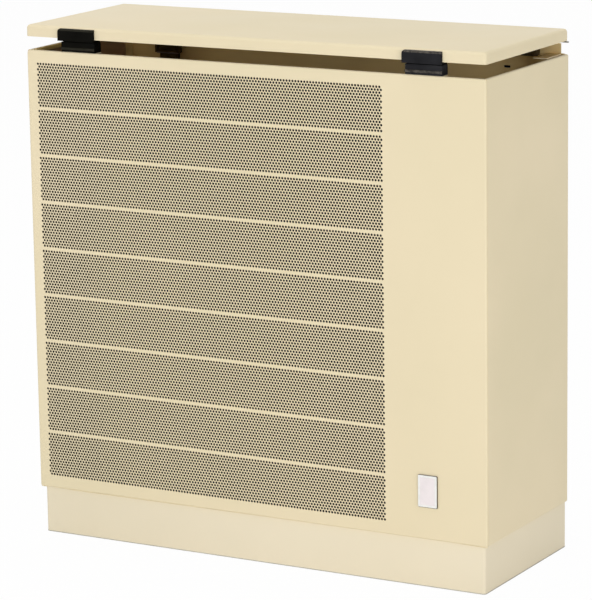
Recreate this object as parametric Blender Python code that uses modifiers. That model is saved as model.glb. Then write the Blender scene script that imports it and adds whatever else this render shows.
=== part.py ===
"""Gas convector heater: a sheet-steel cabinet with a perforated front and a hinged lid.

Metres, +Z up, front towards -Y. The origin is at floor level, under the middle of the whole
heater, wall rails included.
"""

import math

import bmesh
import bpy
from mathutils import Matrix, Vector

# Cabinet
casing_width = 0.630
casing_depth = 0.227
casing_height = 0.5576
panel_sheet = 0.001
bend_radius = 0.0035
front_bend_radius = 0.002
seam = 0.0003
flange_width = 0.012
top_flange_width = 0.005
top_hem = 0.003
tray_depth = 0.016
wall_gap = 0.013

# Plinth
plinth_height = 0.0595
plinth_front_inset = 0.004
plinth_side_inset = 0.0049
plinth_back_overhang = 0.005
plinth_sheet = 0.0012
plinth_flange = 0.018

# Lid, its liner and its hinges
lid_gap = 0.0168
lid_height = 0.0144
lid_side_overhang = 0.0002
lid_front_overhang = 0.001
lid_back_inset = 0.002
lid_edge_radius = 0.0045
lid_corner_radius = 0.007
liner_margin = 0.022
liner_height = 0.006
liner_side_gap = 0.0055
rod_radius = 0.001
rod_overhang = 0.003
rod_back_inset = 0.0075
rod_clearance = 0.00015
leaf_thickness = 0.002
leaf_eye_wall = 0.0018
leaf_foot_width = 0.012
leaf_depth = 0.022
hinge_block_width = 0.0243
hinge_block_side_gap = 0.034
hinge_block_front = 0.0055
hinge_block_back = 0.0022
hinge_block_above_rod = 0.0038
hinge_block_drop = 0.0034
hinge_block_edge = 0.001
hinge_tail_height = 0.0115
gusset_length = 0.039
gusset_reach = 0.027

# Lid rests at the front
rest_width = 0.048
rest_depth = 0.0147
rest_set_back = 0.001
rest_side_gap = 0.0776
rest_left_shift = 0.0032
rest_play = 0.0003
lip_proud = 0.005
lip_thickness = 0.0037
lip_width = 0.0513
lip_height = 0.0152
lip_corner = 0.0012
lip_drop = 0.0024

# Front openings, a coarse stand-in for the fine holes
hole_radius = 0.009
hole_row_gap = 0.0277
hole_columns = 15
hole_sides = 6
band_count = 9
grille_left_margin = 0.0297
grille_right_margin = 0.1523
grille_bottom_margin = 0.0436
grille_top_margin = 0.0428

# Badge
badge_width = 0.0255
badge_height = 0.040
badge_thickness = 0.0016
badge_corner = 0.003
badge_side_gap = 0.065
badge_bottom_gap = 0.0397
badge_rim = 0.0012
badge_recess = 0.0004

# Back plate, wall rails, hanger and screws
back_sheet = 0.0012
back_side_inset = 0.0065
back_notch_width = 0.0042
back_top_drop = 0.0033
rail_length = 0.440
rail_height = 0.040
rail_sheet = 0.0015
lower_rail_height = 0.0612
hanger_width = 0.0346
hanger_height = 0.036
hanger_depth = 0.010
hanger_side_gap = 0.0513
hanger_top_drop = 0.016
hanger_groove = 0.004
hanger_rib = 0.003
slot_width = 0.0085
slot_height = 0.003
slot_side_gap = 0.0825
slot_top_drop = 0.0185
screw_head_radius = 0.003
screw_head_height = 0.002
screw_edge_share = 0.35
screw_shank_radius = 0.0015
screw_length = 0.006
screw_play = 0.0004
screw_end_gap = 0.090

# Partition and control shelf
partition_side_gap = 0.130
partition_sheet = 0.0012
shelf_drop = 0.0624
shelf_front_gap = 0.040
shelf_overlap = 0.006
lead_hole_radius = 0.006
lead_hole_height = 0.0352
lead_radius = 0.0012
lead_bend = 0.010
lead_spacing = 0.004

# Combustion chamber and heat exchanger
exchanger_side_gap = 0.030
exchanger_partition_gap = 0.020
exchanger_back_gap = 0.042
chamber_depth = 0.110
chamber_bottom_gap = 0.0402
chamber_height = 0.140
exchanger_top_gap = 0.0771
exchanger_wall = 0.002
fin_depth = 0.020
fin_thickness = 0.004
fin_count = 13
bracket_length = 0.180
bracket_height = 0.030
bracket_sheet = 0.002
lower_bracket_drop = 0.010

# Window
window_width = 0.060
window_height = 0.036
window_frame_width = 0.010
window_frame_thickness = 0.004
window_glass_thickness = 0.0025
window_bottom_gap = 0.070
window_side_gap = 0.090

# Burner and injector
burner_radius = 0.018
burner_height = 0.042
burner_end_gap = 0.028
burner_neck_radius = 0.011
burner_neck_length = 0.009
cradle_width = 0.018
cradle_height = 0.009
cradle_end_gap = 0.060
saddle_share = 0.8
injector_radius = 0.008
injector_flange_radius = 0.013
injector_flange_thickness = 0.003
injector_length = 0.010
manifold_radius = 0.005
manifold_bend = 0.011
manifold_lead_out = 0.012

# Pilot
pilot_side_gap = 0.090
pilot_shelf_width = 0.056
pilot_shelf_thickness = 0.002
pilot_shelf_depth = 0.030
pilot_shelf_height = 0.056
pilot_spacing = 0.016
pilot_radius = 0.005
pilot_height = 0.022
pilot_neck_share = 0.7
pilot_head_shares = (0.85, 0.6, 0.5)
probe_radius = 0.002
probe_height = 0.026
probe_tip_share = 0.6
probe_foot_share = 1.6
probe_height_shares = (0.92, 0.4, 0.35)
electrode_radius = 0.0032
electrode_height = 0.018
electrode_tip_radius = 0.001
electrode_tip = 0.010

# Gas valve and thermostat
valve_width = 0.056
valve_depth = 0.050
valve_height = 0.062
valve_chamfer = 0.004
valve_drop = 0.040
valve_side_gap = 0.040
port_height = 0.012
bonnet_radius = 0.015
bonnet_foot_radius = 0.019
bonnet_foot_height = 0.004
bonnet_height = 0.024
spindle_radius = 0.004
spindle_clearance = 0.0003
spindle_travel = 0.005
spindle_end_room = 0.0015
spindle_seat = 0.012
spindle_hole_play = 0.0015
knob_radius = 0.023
knob_height = 0.016
knob_clearance = 0.0012
knob_bevel = 0.0025
knob_taper = 0.0015
knob_bore_depth = 0.008
knob_pointer_width = 0.003
knob_pointer_height = 0.0012
knob_pointer_length = 0.014
valve_bracket_height = 0.018
valve_bracket_depth = 0.034
valve_bracket_sheet = 0.002
valve_bracket_lift = 0.034

# Piezo igniter
piezo_radius = 0.008
piezo_length = 0.045
piezo_flange_radius = 0.011
piezo_flange_height = 0.003
piezo_from_knob_x = 0.036
piezo_from_knob_y = 0.034
button_radius = 0.005
button_clearance = 0.0003
button_height = 0.009
button_seat = 0.010
button_travel = 0.005
button_end_room = 0.001
button_edge_share = 0.25

# Gas cock and pipes
cock_radius = 0.013
cock_height = 0.040
cock_shoulder_share = 0.2
cock_mouth_wall = 0.0015
cock_rise = 0.0292
cock_boss_radius = 0.008
cock_boss_length = 0.006
lever_length = 0.046
lever_width = 0.010
lever_thickness = 0.003
lever_hub_radius = 0.0075
cock_bracket_height = 0.014
cock_bracket_depth = 0.016
cock_bracket_sheet = 0.002
riser_radius = 0.006
inlet_radius = 0.0075
inlet_floor_gap = 0.020
pipe_bevel_resolution = 2

# Sensor bulb and its tube
bulb_radius = 0.004
bulb_length = 0.080
bulb_height = 0.0172
bulb_side_gap = 0.014
bulb_front_gap = 0.050
clip_play = 0.0003
clip_wall = 0.002
clip_thickness = 0.006
capillary_radius = 0.001
capillary_bend = 0.012
capillary_reach = 0.013

# Flue and air spigots
flue_radius = 0.030
flue_sheet = 0.0015
flue_flange_radius = 0.042
flue_flange_thickness = 0.0015
flue_drop = 0.110
air_radius = 0.050
air_flange_radius = 0.064
duct_play = 0.0003

# Shared detail
overrun = 0.002
merge_distance = 0.00001
round_steps = 24
small_round_steps = 12
bend_steps = 4
arc_steps = 8

# Places that follow from the sizes above
half_width = casing_width / 2
casing_bottom = plinth_height + seam
casing_top = casing_bottom + casing_height
front = (lip_proud - casing_depth - wall_gap) / 2
back = front + casing_depth
wall = back + wall_gap
lid_bottom = casing_top + lid_gap
lid_top = lid_bottom + lid_height
lid_half = half_width + lid_side_overhang
lid_front = front - lid_front_overhang
lid_back = back - lid_back_inset
lid_under = lid_top - panel_sheet
rod_y = back - rod_back_inset
rod_z = lid_bottom - seam - rod_radius
plate_front = back + seam
plate_back = plate_front + back_sheet
plate_half = half_width - back_side_inset
plate_top = rod_z - back_top_drop
partition_left = half_width - partition_side_gap
partition_right = partition_left + partition_sheet
partition_front = front + tray_depth + seam
shelf_under = casing_top - shelf_drop
shelf_top = shelf_under + partition_sheet
partition_top = shelf_under - seam
exchanger_left = exchanger_side_gap - half_width
exchanger_right = partition_left - exchanger_partition_gap
exchanger_back = plate_front - exchanger_back_gap
exchanger_front = exchanger_back - chamber_depth
exchanger_middle_y = (exchanger_back + exchanger_front) / 2
chamber_bottom = casing_bottom + chamber_bottom_gap
chamber_top = chamber_bottom + chamber_height
exchanger_bottom = chamber_top + seam
exchanger_top = casing_top - exchanger_top_gap
exchanger_height = exchanger_top - exchanger_bottom
burner_z = chamber_bottom + burner_height
burner_y = exchanger_middle_y
valve_left = partition_right + valve_side_gap - valve_bracket_sheet
valve_top = shelf_under - valve_drop
valve_bottom = valve_top - valve_height
valve_x = valve_left + valve_width / 2
valve_y = burner_y
port_z = valve_bottom + port_height
flue_x = (exchanger_left + exchanger_right) / 2
flue_z = exchanger_top - flue_drop
upper_bracket_z = (flue_z + flue_flange_radius + exchanger_top - bracket_height) / 2
lower_bracket_z = chamber_top - lower_bracket_drop - bracket_height
upper_rail_z = (flue_z + air_flange_radius + plate_top - rail_height) / 2
lower_rail_z = casing_bottom + lower_rail_height
bulb_x = partition_right + bulb_side_gap
bulb_z = casing_bottom + bulb_height
bulb_front = front + bulb_front_gap
lead_z = casing_bottom + lead_hole_height
piezo_x = valve_x + piezo_from_knob_x
piezo_y = valve_y - piezo_from_knob_y

# Finishes: colour, roughness, metallic
cream_enamel = ((0.79, 0.71, 0.53), 0.32, 0.0)
plinth_enamel = ((0.76, 0.70, 0.55), 0.35, 0.0)
dark_enamel = ((0.02, 0.02, 0.022), 0.45, 0.0)
black_plastic = ((0.012, 0.012, 0.014), 0.38, 0.0)
white_plastic = ((0.80, 0.80, 0.77), 0.35, 0.0)
zinc_steel = ((0.55, 0.56, 0.57), 0.38, 1.0)
bright_steel = ((0.62, 0.62, 0.62), 0.25, 1.0)
cast_alloy = ((0.50, 0.51, 0.52), 0.50, 1.0)
brass = ((0.66, 0.50, 0.23), 0.30, 1.0)
copper = ((0.72, 0.38, 0.24), 0.30, 1.0)
clear_glass = ((0.75, 0.72, 0.62), 0.08, 0.0)
ceramic = ((0.85, 0.83, 0.78), 0.45, 0.0)

# Ways to turn a shape drawn in its own XY plane, or round its own Z axis
facing_front = (math.pi / 2, 0, 0)
facing_side = (math.pi / 2, 0, math.pi / 2)
axis_to_front = (math.pi / 2, 0, 0)
axis_to_back = (-math.pi / 2, 0, 0)
axis_to_left = (0, -math.pi / 2, 0)
level = (0, 0, 0)


def clear_scene():
    for old in list(bpy.data.objects):
        bpy.data.objects.remove(old, do_unlink=True)


def new_collection(name):
    made = bpy.data.collections.new(name)
    bpy.context.scene.collection.children.link(made)
    return made


clear_scene()
pieces = new_collection("gas_convector_heater")
cutters = new_collection("cutters")


def give_finish(piece, finish):
    colour, roughness, metallic = finish
    material = bpy.data.materials.new(piece.name)
    material.use_nodes = True
    shader = material.node_tree.nodes["Principled BSDF"]
    shader.inputs["Base Color"].default_value = (*colour, 1)
    shader.inputs["Roughness"].default_value = roughness
    shader.inputs["Metallic"].default_value = metallic
    piece.data.materials.append(material)


def add_piece(name, data, place, turn, finish):
    piece = bpy.data.objects.new(name, data)
    piece.location = place
    piece.rotation_euler = turn
    pieces.objects.link(piece)
    give_finish(piece, finish)
    return piece


def mesh_from(name, form):
    mesh = bpy.data.meshes.new(name)
    form.normal_update()
    form.to_mesh(mesh)
    form.free()
    return mesh


def box_form(size):
    form = bmesh.new()
    bmesh.ops.create_cube(form, size=1)
    bmesh.ops.scale(form, vec=size, verts=form.verts)
    return form


def block(name, low, high, finish):
    """A solid box between two corners."""
    size = Vector(high) - Vector(low)
    middle = (Vector(high) + Vector(low)) / 2
    return add_piece(name, mesh_from(name, box_form(size)), middle, level, finish)


def cutter_from(piece):
    """Makes a piece a helper that only cuts or joins."""
    pieces.objects.unlink(piece)
    cutters.objects.link(piece)
    piece.hide_render = True
    piece.display_type = "WIRE"
    return piece


def combine(piece, helper, operation):
    boolean = piece.modifiers.new(helper.name, "BOOLEAN")
    boolean.operation = operation
    boolean.object = cutter_from(helper)


def faces_towards(form, direction, at_least=0.9):
    return [face for face in form.faces if face.normal.dot(Vector(direction)) > at_least]


def edges_along(form, direction):
    """Edges that run along one axis."""
    wanted = Vector(direction)
    found = []
    for edge in form.edges:
        run = (edge.verts[1].co - edge.verts[0].co).normalized()
        if abs(run.dot(wanted)) > 0.999:
            found.append(edge)
    return found


def round_edges(form, edges, radius, steps):
    bmesh.ops.bevel(
        form, geom=edges, affect="EDGES", offset=radius, segments=steps, profile=0.5, material=-1
    )


def thicken(piece, thickness):
    """Gives an open shell its wall, inside the drawn surface."""
    wall_of = piece.modifiers.new("Wall", "SOLIDIFY")
    wall_of.thickness = thickness
    wall_of.offset = -1
    wall_of.use_even_offset = True


def flat_sheet(name, loops, thickness, place, turn, finish):
    """A sheet cut to an outline, with the later loops as holes in it."""
    flat = bpy.data.curves.new(name, "CURVE")
    flat.dimensions = "2D"
    flat.fill_mode = "BOTH"
    flat.extrude = thickness / 2
    for loop in loops:
        spline = flat.splines.new("POLY")
        spline.points.add(len(loop) - 1)
        spline.use_cyclic_u = True
        for point, (across, up) in zip(spline.points, loop):
            point.co = (across, up, 0, 1)
    return add_piece(name, flat, place, turn, finish)


def as_mesh(piece):
    """Turns a curve piece into a closed mesh piece, so that it can be cut or joined."""
    bpy.context.view_layer.update()
    evaluated = piece.evaluated_get(bpy.context.evaluated_depsgraph_get())
    mesh = bpy.data.meshes.new_from_object(evaluated)
    form = bmesh.new()
    form.from_mesh(mesh)
    bmesh.ops.remove_doubles(form, verts=form.verts, dist=merge_distance)
    form.to_mesh(mesh)
    form.free()
    solid = bpy.data.objects.new(piece.name, mesh)
    solid.matrix_world = piece.matrix_world
    name = piece.name
    bpy.data.objects.remove(piece, do_unlink=True)
    solid.name = name
    pieces.objects.link(solid)
    return solid


def rectangle(left, bottom, right, top):
    return [(left, bottom), (right, bottom), (right, top), (left, top)]


def circle(across, up, radius, sides, start=0.0):
    turns = [start + 2 * math.pi * i / sides for i in range(sides)]
    return [(across + radius * math.cos(t), up + radius * math.sin(t)) for t in turns]


def turned(name, profile, place, turn, finish, steps=round_steps, closed=False):
    """A profile of (radius, height) pairs, run down its outer side, turned round local Z."""
    form = bmesh.new()
    points = [form.verts.new((radius, 0, height)) for radius, height in profile]
    for first, second in zip(points, points[1:]):
        form.edges.new((first, second))
    if closed:
        form.edges.new((points[-1], points[0]))
    piece = add_piece(name, mesh_from(name, form), place, turn, finish)
    screw = piece.modifiers.new("Turn", "SCREW")
    screw.axis = "Z"
    screw.angle = 2 * math.pi
    screw.steps = steps
    screw.render_steps = steps
    screw.use_merge_vertices = True
    screw.merge_threshold = merge_distance
    return piece


def cylinder(name, radius, low, high, place, turn, finish, steps=small_round_steps):
    profile = [(0, high), (radius, high), (radius, low), (0, low)]
    return turned(name, profile, place, turn, finish, steps)


def bent(route, radius):
    """The route with each inner corner made an arc of this radius."""
    route = [Vector(point) for point in route]
    points = [route[0]]
    for before, corner, after in zip(route, route[1:], route[2:]):
        towards = (before - corner).normalized()
        away = (after - corner).normalized()
        half = towards.angle(away) / 2
        reach = radius / math.tan(half)
        centre = corner + (towards + away).normalized() * radius / math.sin(half)
        start = corner + towards * reach - centre
        end = corner + away * reach - centre
        sweep = start.angle(end)
        for i in range(bend_steps + 1):
            share = i / bend_steps
            first = start * math.sin((1 - share) * sweep)
            second = end * math.sin(share * sweep)
            points.append(centre + (first + second) / math.sin(sweep))
    points.append(route[-1])
    return points


def pipe(name, route, radius, finish, resolution=pipe_bevel_resolution):
    line = bpy.data.curves.new(name, "CURVE")
    line.dimensions = "3D"
    line.bevel_depth = radius
    line.bevel_resolution = resolution
    line.use_fill_caps = True
    origin = Vector(route[0])
    spline = line.splines.new("POLY")
    spline.points.add(len(route) - 1)
    for point, place in zip(spline.points, route):
        point.co = (*(Vector(place) - origin), 1)
    return add_piece(name, line, origin, level, finish)


def hang_on(pieces_moved, name, place):
    """Parents pieces to an empty on the axis that they turn or slide on."""
    axis = bpy.data.objects.new(name, None)
    axis.location = place
    pieces.objects.link(axis)
    for piece in pieces_moved:
        piece.location = piece.location - Vector(place)
        piece.parent = axis


# Cabinet shells


def make_plinth():
    low = Vector((plinth_side_inset - half_width, front + plinth_front_inset, 0))
    high = Vector((half_width - plinth_side_inset, back + plinth_back_overhang, plinth_height))
    form = box_form(high - low)
    ends = faces_towards(form, (0, 0, 1)) + faces_towards(form, (0, 0, -1))
    bmesh.ops.inset_individual(form, faces=ends, thickness=plinth_flange, use_even_offset=True)
    bmesh.ops.delete(form, geom=ends, context="FACES")
    plinth = add_piece("plinth", mesh_from("plinth", form), (low + high) / 2, level, plinth_enamel)
    thicken(plinth, plinth_sheet)


def make_front_panel():
    """A tray whose side folds end as hems, in line with the side panels behind them."""
    low = Vector((-half_width, front, casing_bottom))
    high = Vector((half_width, front + tray_depth, casing_top))
    form = box_form(high - low)
    upper = [edge for edge in edges_along(form, (0, 1, 0)) if edge.verts[0].co.z > 0]
    round_edges(form, upper, bend_radius, 3)
    bmesh.ops.delete(form, geom=faces_towards(form, (0, 1, 0)), context="FACES")
    face = faces_towards(form, (0, -1, 0))[0]
    lower = [edge for edge in edges_along(form, (0, 1, 0)) if edge.calc_face_angle(0) > 1]
    round_edges(form, list(face.edges) + lower, front_bend_radius, 2)
    panel = add_piece(
        "front_panel", mesh_from("front_panel", form), (low + high) / 2, level, cream_enamel
    )
    thicken(panel, panel_sheet)
    for number, (trim_low, trim_high) in enumerate(front_panel_trims(), 1):
        trim = block(f"front_panel_trim_{number}", trim_low, trim_high, cream_enamel)
        combine(panel, trim, "DIFFERENCE")
    combine(panel, make_hole_cutters(), "DIFFERENCE")


def front_panel_trims():
    """Corners of the boxes that leave the side hems, the top hem and a tab under each rest."""
    behind = front + tray_depth + overrun
    hem_back = front + front_bend_radius
    kept = half_width - bend_radius - panel_sheet
    above = casing_top + overrun
    below = casing_bottom - overrun
    trims = []
    for side in (-1, 1):
        across = sorted((side * kept, side * (half_width + overrun)))
        trims.append(((across[0], hem_back, below), (across[1], behind, above)))
    ends = [-half_width - overrun]
    for side in (-1, 1):
        ends += [rest_middle(side) - rest_width / 2, rest_middle(side) + rest_width / 2]
    ends.append(half_width + overrun)
    for left, right in zip(ends[0::2], ends[1::2]):
        low = (left, front + top_hem, casing_top - panel_sheet - overrun)
        trims.append((low, (right, behind, above)))
    return trims


def rest_middle(side):
    return side * (half_width - rest_side_gap) - rest_left_shift


def make_hole_cutters():
    """Nine bands of two staggered rows of six-sided openings."""
    grille_width = casing_width - grille_left_margin - grille_right_margin
    hole_pitch = grille_width / (hole_columns - 1)
    grille_height = casing_height - grille_bottom_margin - grille_top_margin
    band_pitch = grille_height / (band_count - 1)
    form = bmesh.new()
    for band in range(band_count):
        middle = casing_bottom + grille_bottom_margin + band * band_pitch
        for row in (0, 1):
            columns = hole_columns - row
            height = middle + (0.5 - row) * hole_row_gap
            first = grille_left_margin - half_width + row / 2 * hole_pitch
            for column in range(columns):
                place = Matrix.Translation((first + column * hole_pitch, front, height))
                bmesh.ops.create_cone(
                    form,
                    cap_ends=True,
                    segments=hole_sides,
                    radius1=hole_radius,
                    radius2=hole_radius,
                    depth=2 * panel_sheet + 2 * overrun,
                    matrix=place @ Matrix.Rotation(math.pi / 2, 4, "X"),
                )
    return add_piece("front_holes", mesh_from("front_holes", form), (0, 0, 0), level, cream_enamel)


def make_side_panel(name, side):
    """The sheet starts behind the front panel's hem, and its flanges behind the tray."""
    low = Vector((half_width - flange_width, front + front_bend_radius + seam, casing_bottom))
    high = Vector((half_width, back, casing_top))
    middle = (low + high) / 2
    form = box_form(high - low)
    open_sides = faces_towards(form, (-1, 0, 0)) + faces_towards(form, (0, -1, 0))
    bmesh.ops.delete(form, geom=open_sides, context="FACES")
    folded = [edge for edge in form.edges if not edge.is_boundary]
    round_edges(form, folded, bend_radius, 3)
    notch = partition_front - middle.y
    everything = form.verts[:] + form.edges[:] + form.faces[:]
    bmesh.ops.bisect_plane(form, geom=everything, plane_co=(0, notch, 0), plane_no=(0, 1, 0))
    form.normal_update()
    flaps = []
    for face in form.faces:
        if face.calc_center_median().y < notch and face.normal.x < 0.999:
            flaps.append(face)
    bmesh.ops.delete(form, geom=flaps, context="FACES")
    if side < 0:
        turn_over(form)
        middle.x = -middle.x
    panel = add_piece(name, mesh_from(name, form), middle, level, cream_enamel)
    thicken(panel, panel_sheet)
    across = sorted(
        (side * (half_width - top_flange_width), side * (half_width - flange_width - overrun))
    )
    trim_low = (across[0], partition_front - overrun, casing_top - panel_sheet - overrun)
    trim_high = (across[1], back - bend_radius, casing_top + overrun)
    combine(panel, block(name + "_trim", trim_low, trim_high, cream_enamel), "DIFFERENCE")
    for across, height in screw_places():
        if across * side > 0:
            combine(panel, screw_hole_cutter(across, height), "DIFFERENCE")


def turn_over(form):
    """Makes a right-hand shape its left-hand twin."""
    bmesh.ops.scale(form, vec=(-1, 1, 1), verts=form.verts)
    bmesh.ops.reverse_faces(form, faces=form.faces)


def screw_places():
    """Where the casing's four screws go, as (x, z)."""
    across = (half_width - flange_width + plate_half) / 2
    heights = (casing_bottom + screw_end_gap, casing_top - screw_end_gap)
    return [(side * across, height) for side in (-1, 1) for height in heights]


def screw_hole_cutter(across, height):
    reach = panel_sheet + overrun
    place = (across, back - panel_sheet / 2, height)
    radius = screw_shank_radius + screw_play
    return cylinder("screw_hole", radius, -reach, reach, place, axis_to_front, zinc_steel)


def make_back_plate():
    notch = plate_half - back_notch_width
    outline = [(-plate_half, casing_bottom), (plate_half, casing_bottom), (plate_half, casing_top)]
    outline += [(notch, casing_top), (notch, plate_top), (-notch, plate_top)]
    outline += [(-notch, casing_top), (-plate_half, casing_top)]
    loops = [outline, circle(flue_x, flue_z, air_radius + duct_play, round_steps)]
    slot_middle = half_width - slot_side_gap
    slot_top = casing_top - slot_top_drop
    slot = rectangle(
        slot_middle - slot_width / 2, slot_top - slot_height, slot_middle + slot_width / 2, slot_top
    )
    loops.append(slot)
    for across, height in screw_places():
        loops.append(circle(across, height, screw_shank_radius + screw_play, small_round_steps))
    place = (0, (plate_front + plate_back) / 2, 0)
    flat_sheet("back_plate", loops, back_sheet, place, facing_front, cream_enamel)


def make_screws():
    for number, (across, height) in enumerate(screw_places(), 1):
        edge = screw_head_height * screw_edge_share
        profile = [
            (0, screw_head_height),
            (screw_head_radius - edge, screw_head_height),
            (screw_head_radius, screw_head_height - edge),
            (screw_head_radius, 0),
            (screw_shank_radius, 0),
            (screw_shank_radius, -screw_length),
            (0, -screw_length),
        ]
        place = (across, plate_back + seam, height)
        name = f"casing_screw_{number}"
        turned(name, profile, place, axis_to_back, zinc_steel, small_round_steps)


def make_gusset(name, side):
    """A plate under the side flange that stiffens the rear corner."""
    outer = half_width - bend_radius
    across = sorted((side * outer, side * (outer - gusset_reach + bend_radius)))
    top = casing_top - panel_sheet - seam
    rear = back - bend_radius
    low = (across[0], rear - gusset_length, top - panel_sheet)
    high = (across[1], rear, top)
    block(name, low, high, cream_enamel)


def make_hinge_block(name, side):
    """A block round the rod, with a tail that hangs it on the back plate."""
    outer = half_width - hinge_block_side_gap
    middle = side * (outer - hinge_block_width / 2)
    bottom = casing_top - hinge_block_drop
    tail_top = bottom + hinge_tail_height
    top = rod_z + hinge_block_above_rod
    ahead = rod_y - hinge_block_front
    behind = rod_y + hinge_block_back
    seat = plate_front - seam
    outline = [(ahead, bottom), (seat, bottom), (seat, tail_top), (behind, tail_top)]
    outline += [(behind, top - hinge_block_edge), (behind - hinge_block_edge, top)]
    outline += [(ahead + hinge_block_edge, top), (ahead, top - hinge_block_edge)]
    loops = [outline, circle(rod_y, rod_z, rod_radius + rod_clearance, small_round_steps)]
    flat_sheet(name, loops, hinge_block_width, (middle, 0, 0), facing_side, black_plastic)


def make_hinge_rod():
    half_rod = half_width + rod_overhang
    place = (0, rod_y, rod_z)
    cylinder("hinge_rod", rod_radius, -half_rod, half_rod, place, axis_to_left, zinc_steel)


def make_lid_rest(name, side):
    """A block that the lid's front edge stands on, and the lip that the edge drops behind."""
    middle = rest_middle(side)
    rest_top = lid_bottom - rest_play
    rest_front = front + rest_set_back
    lip_front = front - lip_proud
    lip_bottom = rest_top - lip_drop
    body = block(
        name,
        (middle - rest_width / 2, rest_front, casing_top + seam),
        (middle + rest_width / 2, rest_front + rest_depth, rest_top),
        black_plastic,
    )
    web = block(
        name + "_web",
        (middle - rest_width / 2, lip_front + lip_thickness / 2, lip_bottom),
        (middle + rest_width / 2, rest_front + rest_depth / 2, rest_top),
        black_plastic,
    )
    left, right = middle - lip_width / 2, middle + lip_width / 2
    top = lip_bottom + lip_height
    outline = [
        (left, lip_bottom),
        (right, lip_bottom),
        (right, top - lip_corner),
        (right - lip_corner, top),
        (left + lip_corner, top),
        (left, top - lip_corner),
    ]
    place = (0, lip_front + lip_thickness / 2, 0)
    lip = flat_sheet(name + "_lip", [outline], lip_thickness, place, facing_front, black_plastic)
    combine(body, web, "UNION")
    combine(body, as_mesh(lip), "UNION")


def make_badge():
    """A small plate with a raised rim round a bare face."""
    middle = Vector((half_width - badge_side_gap - badge_width / 2, front - seam, 0))
    bottom = casing_bottom + badge_bottom_gap
    form = box_form((badge_width, badge_thickness, badge_height))
    round_edges(form, edges_along(form, (0, 1, 0)), badge_corner, 3)
    face = faces_towards(form, (0, -1, 0))
    bmesh.ops.inset_individual(form, faces=face, thickness=badge_rim, use_even_offset=True)
    bmesh.ops.inset_individual(
        form, faces=face, thickness=badge_recess, depth=-badge_recess, use_even_offset=True
    )
    place = (middle.x, middle.y - badge_thickness / 2, bottom + badge_height / 2)
    add_piece("badge_plate", mesh_from("badge_plate", form), place, level, white_plastic)


def make_hanger():
    """A moulded hook pocket at the top of the back plate, with a groove over a rib."""
    left = hanger_side_gap - half_width
    top = casing_top - hanger_top_drop
    low = Vector((left, plate_front - seam - hanger_depth, top - hanger_height))
    high = Vector((left + hanger_width, plate_front - seam, top))
    hanger = block("hanger_block", low, high, black_plastic)
    groove_top = top - hanger_rib - hanger_groove
    groove = block(
        "hanger_groove",
        (left + hanger_rib, low.y - overrun, groove_top - hanger_groove),
        (left + hanger_width - hanger_rib, low.y + hanger_depth / 2, groove_top),
        black_plastic,
    )
    combine(hanger, groove, "DIFFERENCE")


def make_wall_rail(name, bottom):
    """A channel with its web on the wall."""
    depth = wall - plate_back - seam
    outline = [
        (-depth, 0),
        (0, 0),
        (0, rail_height),
        (-depth, rail_height),
        (-depth, rail_height - rail_sheet),
        (-rail_sheet, rail_height - rail_sheet),
        (-rail_sheet, rail_sheet),
        (-depth, rail_sheet),
    ]
    place = (0, wall, bottom)
    flat_sheet(name, [outline], rail_length, place, facing_side, zinc_steel)


# Lid


def make_lid():
    low = Vector((-lid_half, lid_front, lid_bottom))
    high = Vector((lid_half, lid_back, lid_top))
    form = box_form(high - low)
    round_edges(form, edges_along(form, (0, 0, 1)), lid_corner_radius, 4)
    bmesh.ops.delete(form, geom=faces_towards(form, (0, 0, -1)), context="FACES")
    top = faces_towards(form, (0, 0, 1))[0]
    round_edges(form, list(top.edges), lid_edge_radius, 3)
    lid = add_piece("lid", mesh_from("lid", form), (low + high) / 2, level, cream_enamel)
    thicken(lid, panel_sheet)
    return lid


def make_liner():
    """A shallow tray under the lid that keeps the heat off it."""
    side = leaf_inner() - leaf_foot_width - liner_side_gap
    top = lid_under - seam
    low = Vector((-side, lid_front + liner_margin, top - liner_height))
    high = Vector((side, rod_y - leaf_depth, top))
    form = box_form(high - low)
    bmesh.ops.delete(form, geom=faces_towards(form, (0, 0, 1)), context="FACES")
    place = (low + high) / 2
    liner = add_piece("lid_liner", mesh_from("lid_liner", form), place, level, zinc_steel)
    thicken(liner, panel_sheet)
    return liner


def leaf_inner():
    """Distance from the middle to the inner face of a hinge leaf."""
    return half_width - hinge_block_side_gap - hinge_block_width - seam - leaf_thickness


def make_leaf(name, side):
    """A plate from under the lid down to an eye round the rod, with a foot along the lid."""
    eye = rod_radius + rod_clearance + leaf_eye_wall
    top = lid_under - seam
    outline = [(rod_y + eye, top - eye), (rod_y, top)]
    outline += [(rod_y - leaf_depth, top), (rod_y - leaf_depth, top - eye)]
    for i in range(arc_steps + 1):
        turn = math.pi * (1.25 + 0.75 * i / arc_steps)
        outline.append((rod_y + eye * math.cos(turn), rod_z + eye * math.sin(turn)))
    bore = circle(rod_y, rod_z, rod_radius + rod_clearance, small_round_steps)
    middle = side * (leaf_inner() + leaf_thickness / 2)
    loops = [outline, bore]
    leaf = flat_sheet(name, loops, leaf_thickness, (middle, 0, 0), facing_side, zinc_steel)
    leaf = as_mesh(leaf)
    inner = side * (leaf_inner() - leaf_foot_width)
    across = sorted((inner, middle))
    foot = block(
        name + "_foot",
        (across[0], rod_y - leaf_depth, top - panel_sheet),
        (across[1], rod_y, top),
        zinc_steel,
    )
    combine(leaf, foot, "UNION")
    return leaf


# Back, partition and shelf


def make_partition():
    outline = rectangle(partition_front, casing_bottom, plate_front - seam, partition_top)
    loops = [
        outline,
        circle(burner_y, burner_z, injector_radius + duct_play, round_steps),
        circle(lead_y(0), lead_z, lead_hole_radius, small_round_steps),
    ]
    place = ((partition_left + partition_right) / 2, 0, 0)
    flat_sheet("partition_plate", loops, partition_sheet, place, facing_side, zinc_steel)


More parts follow.
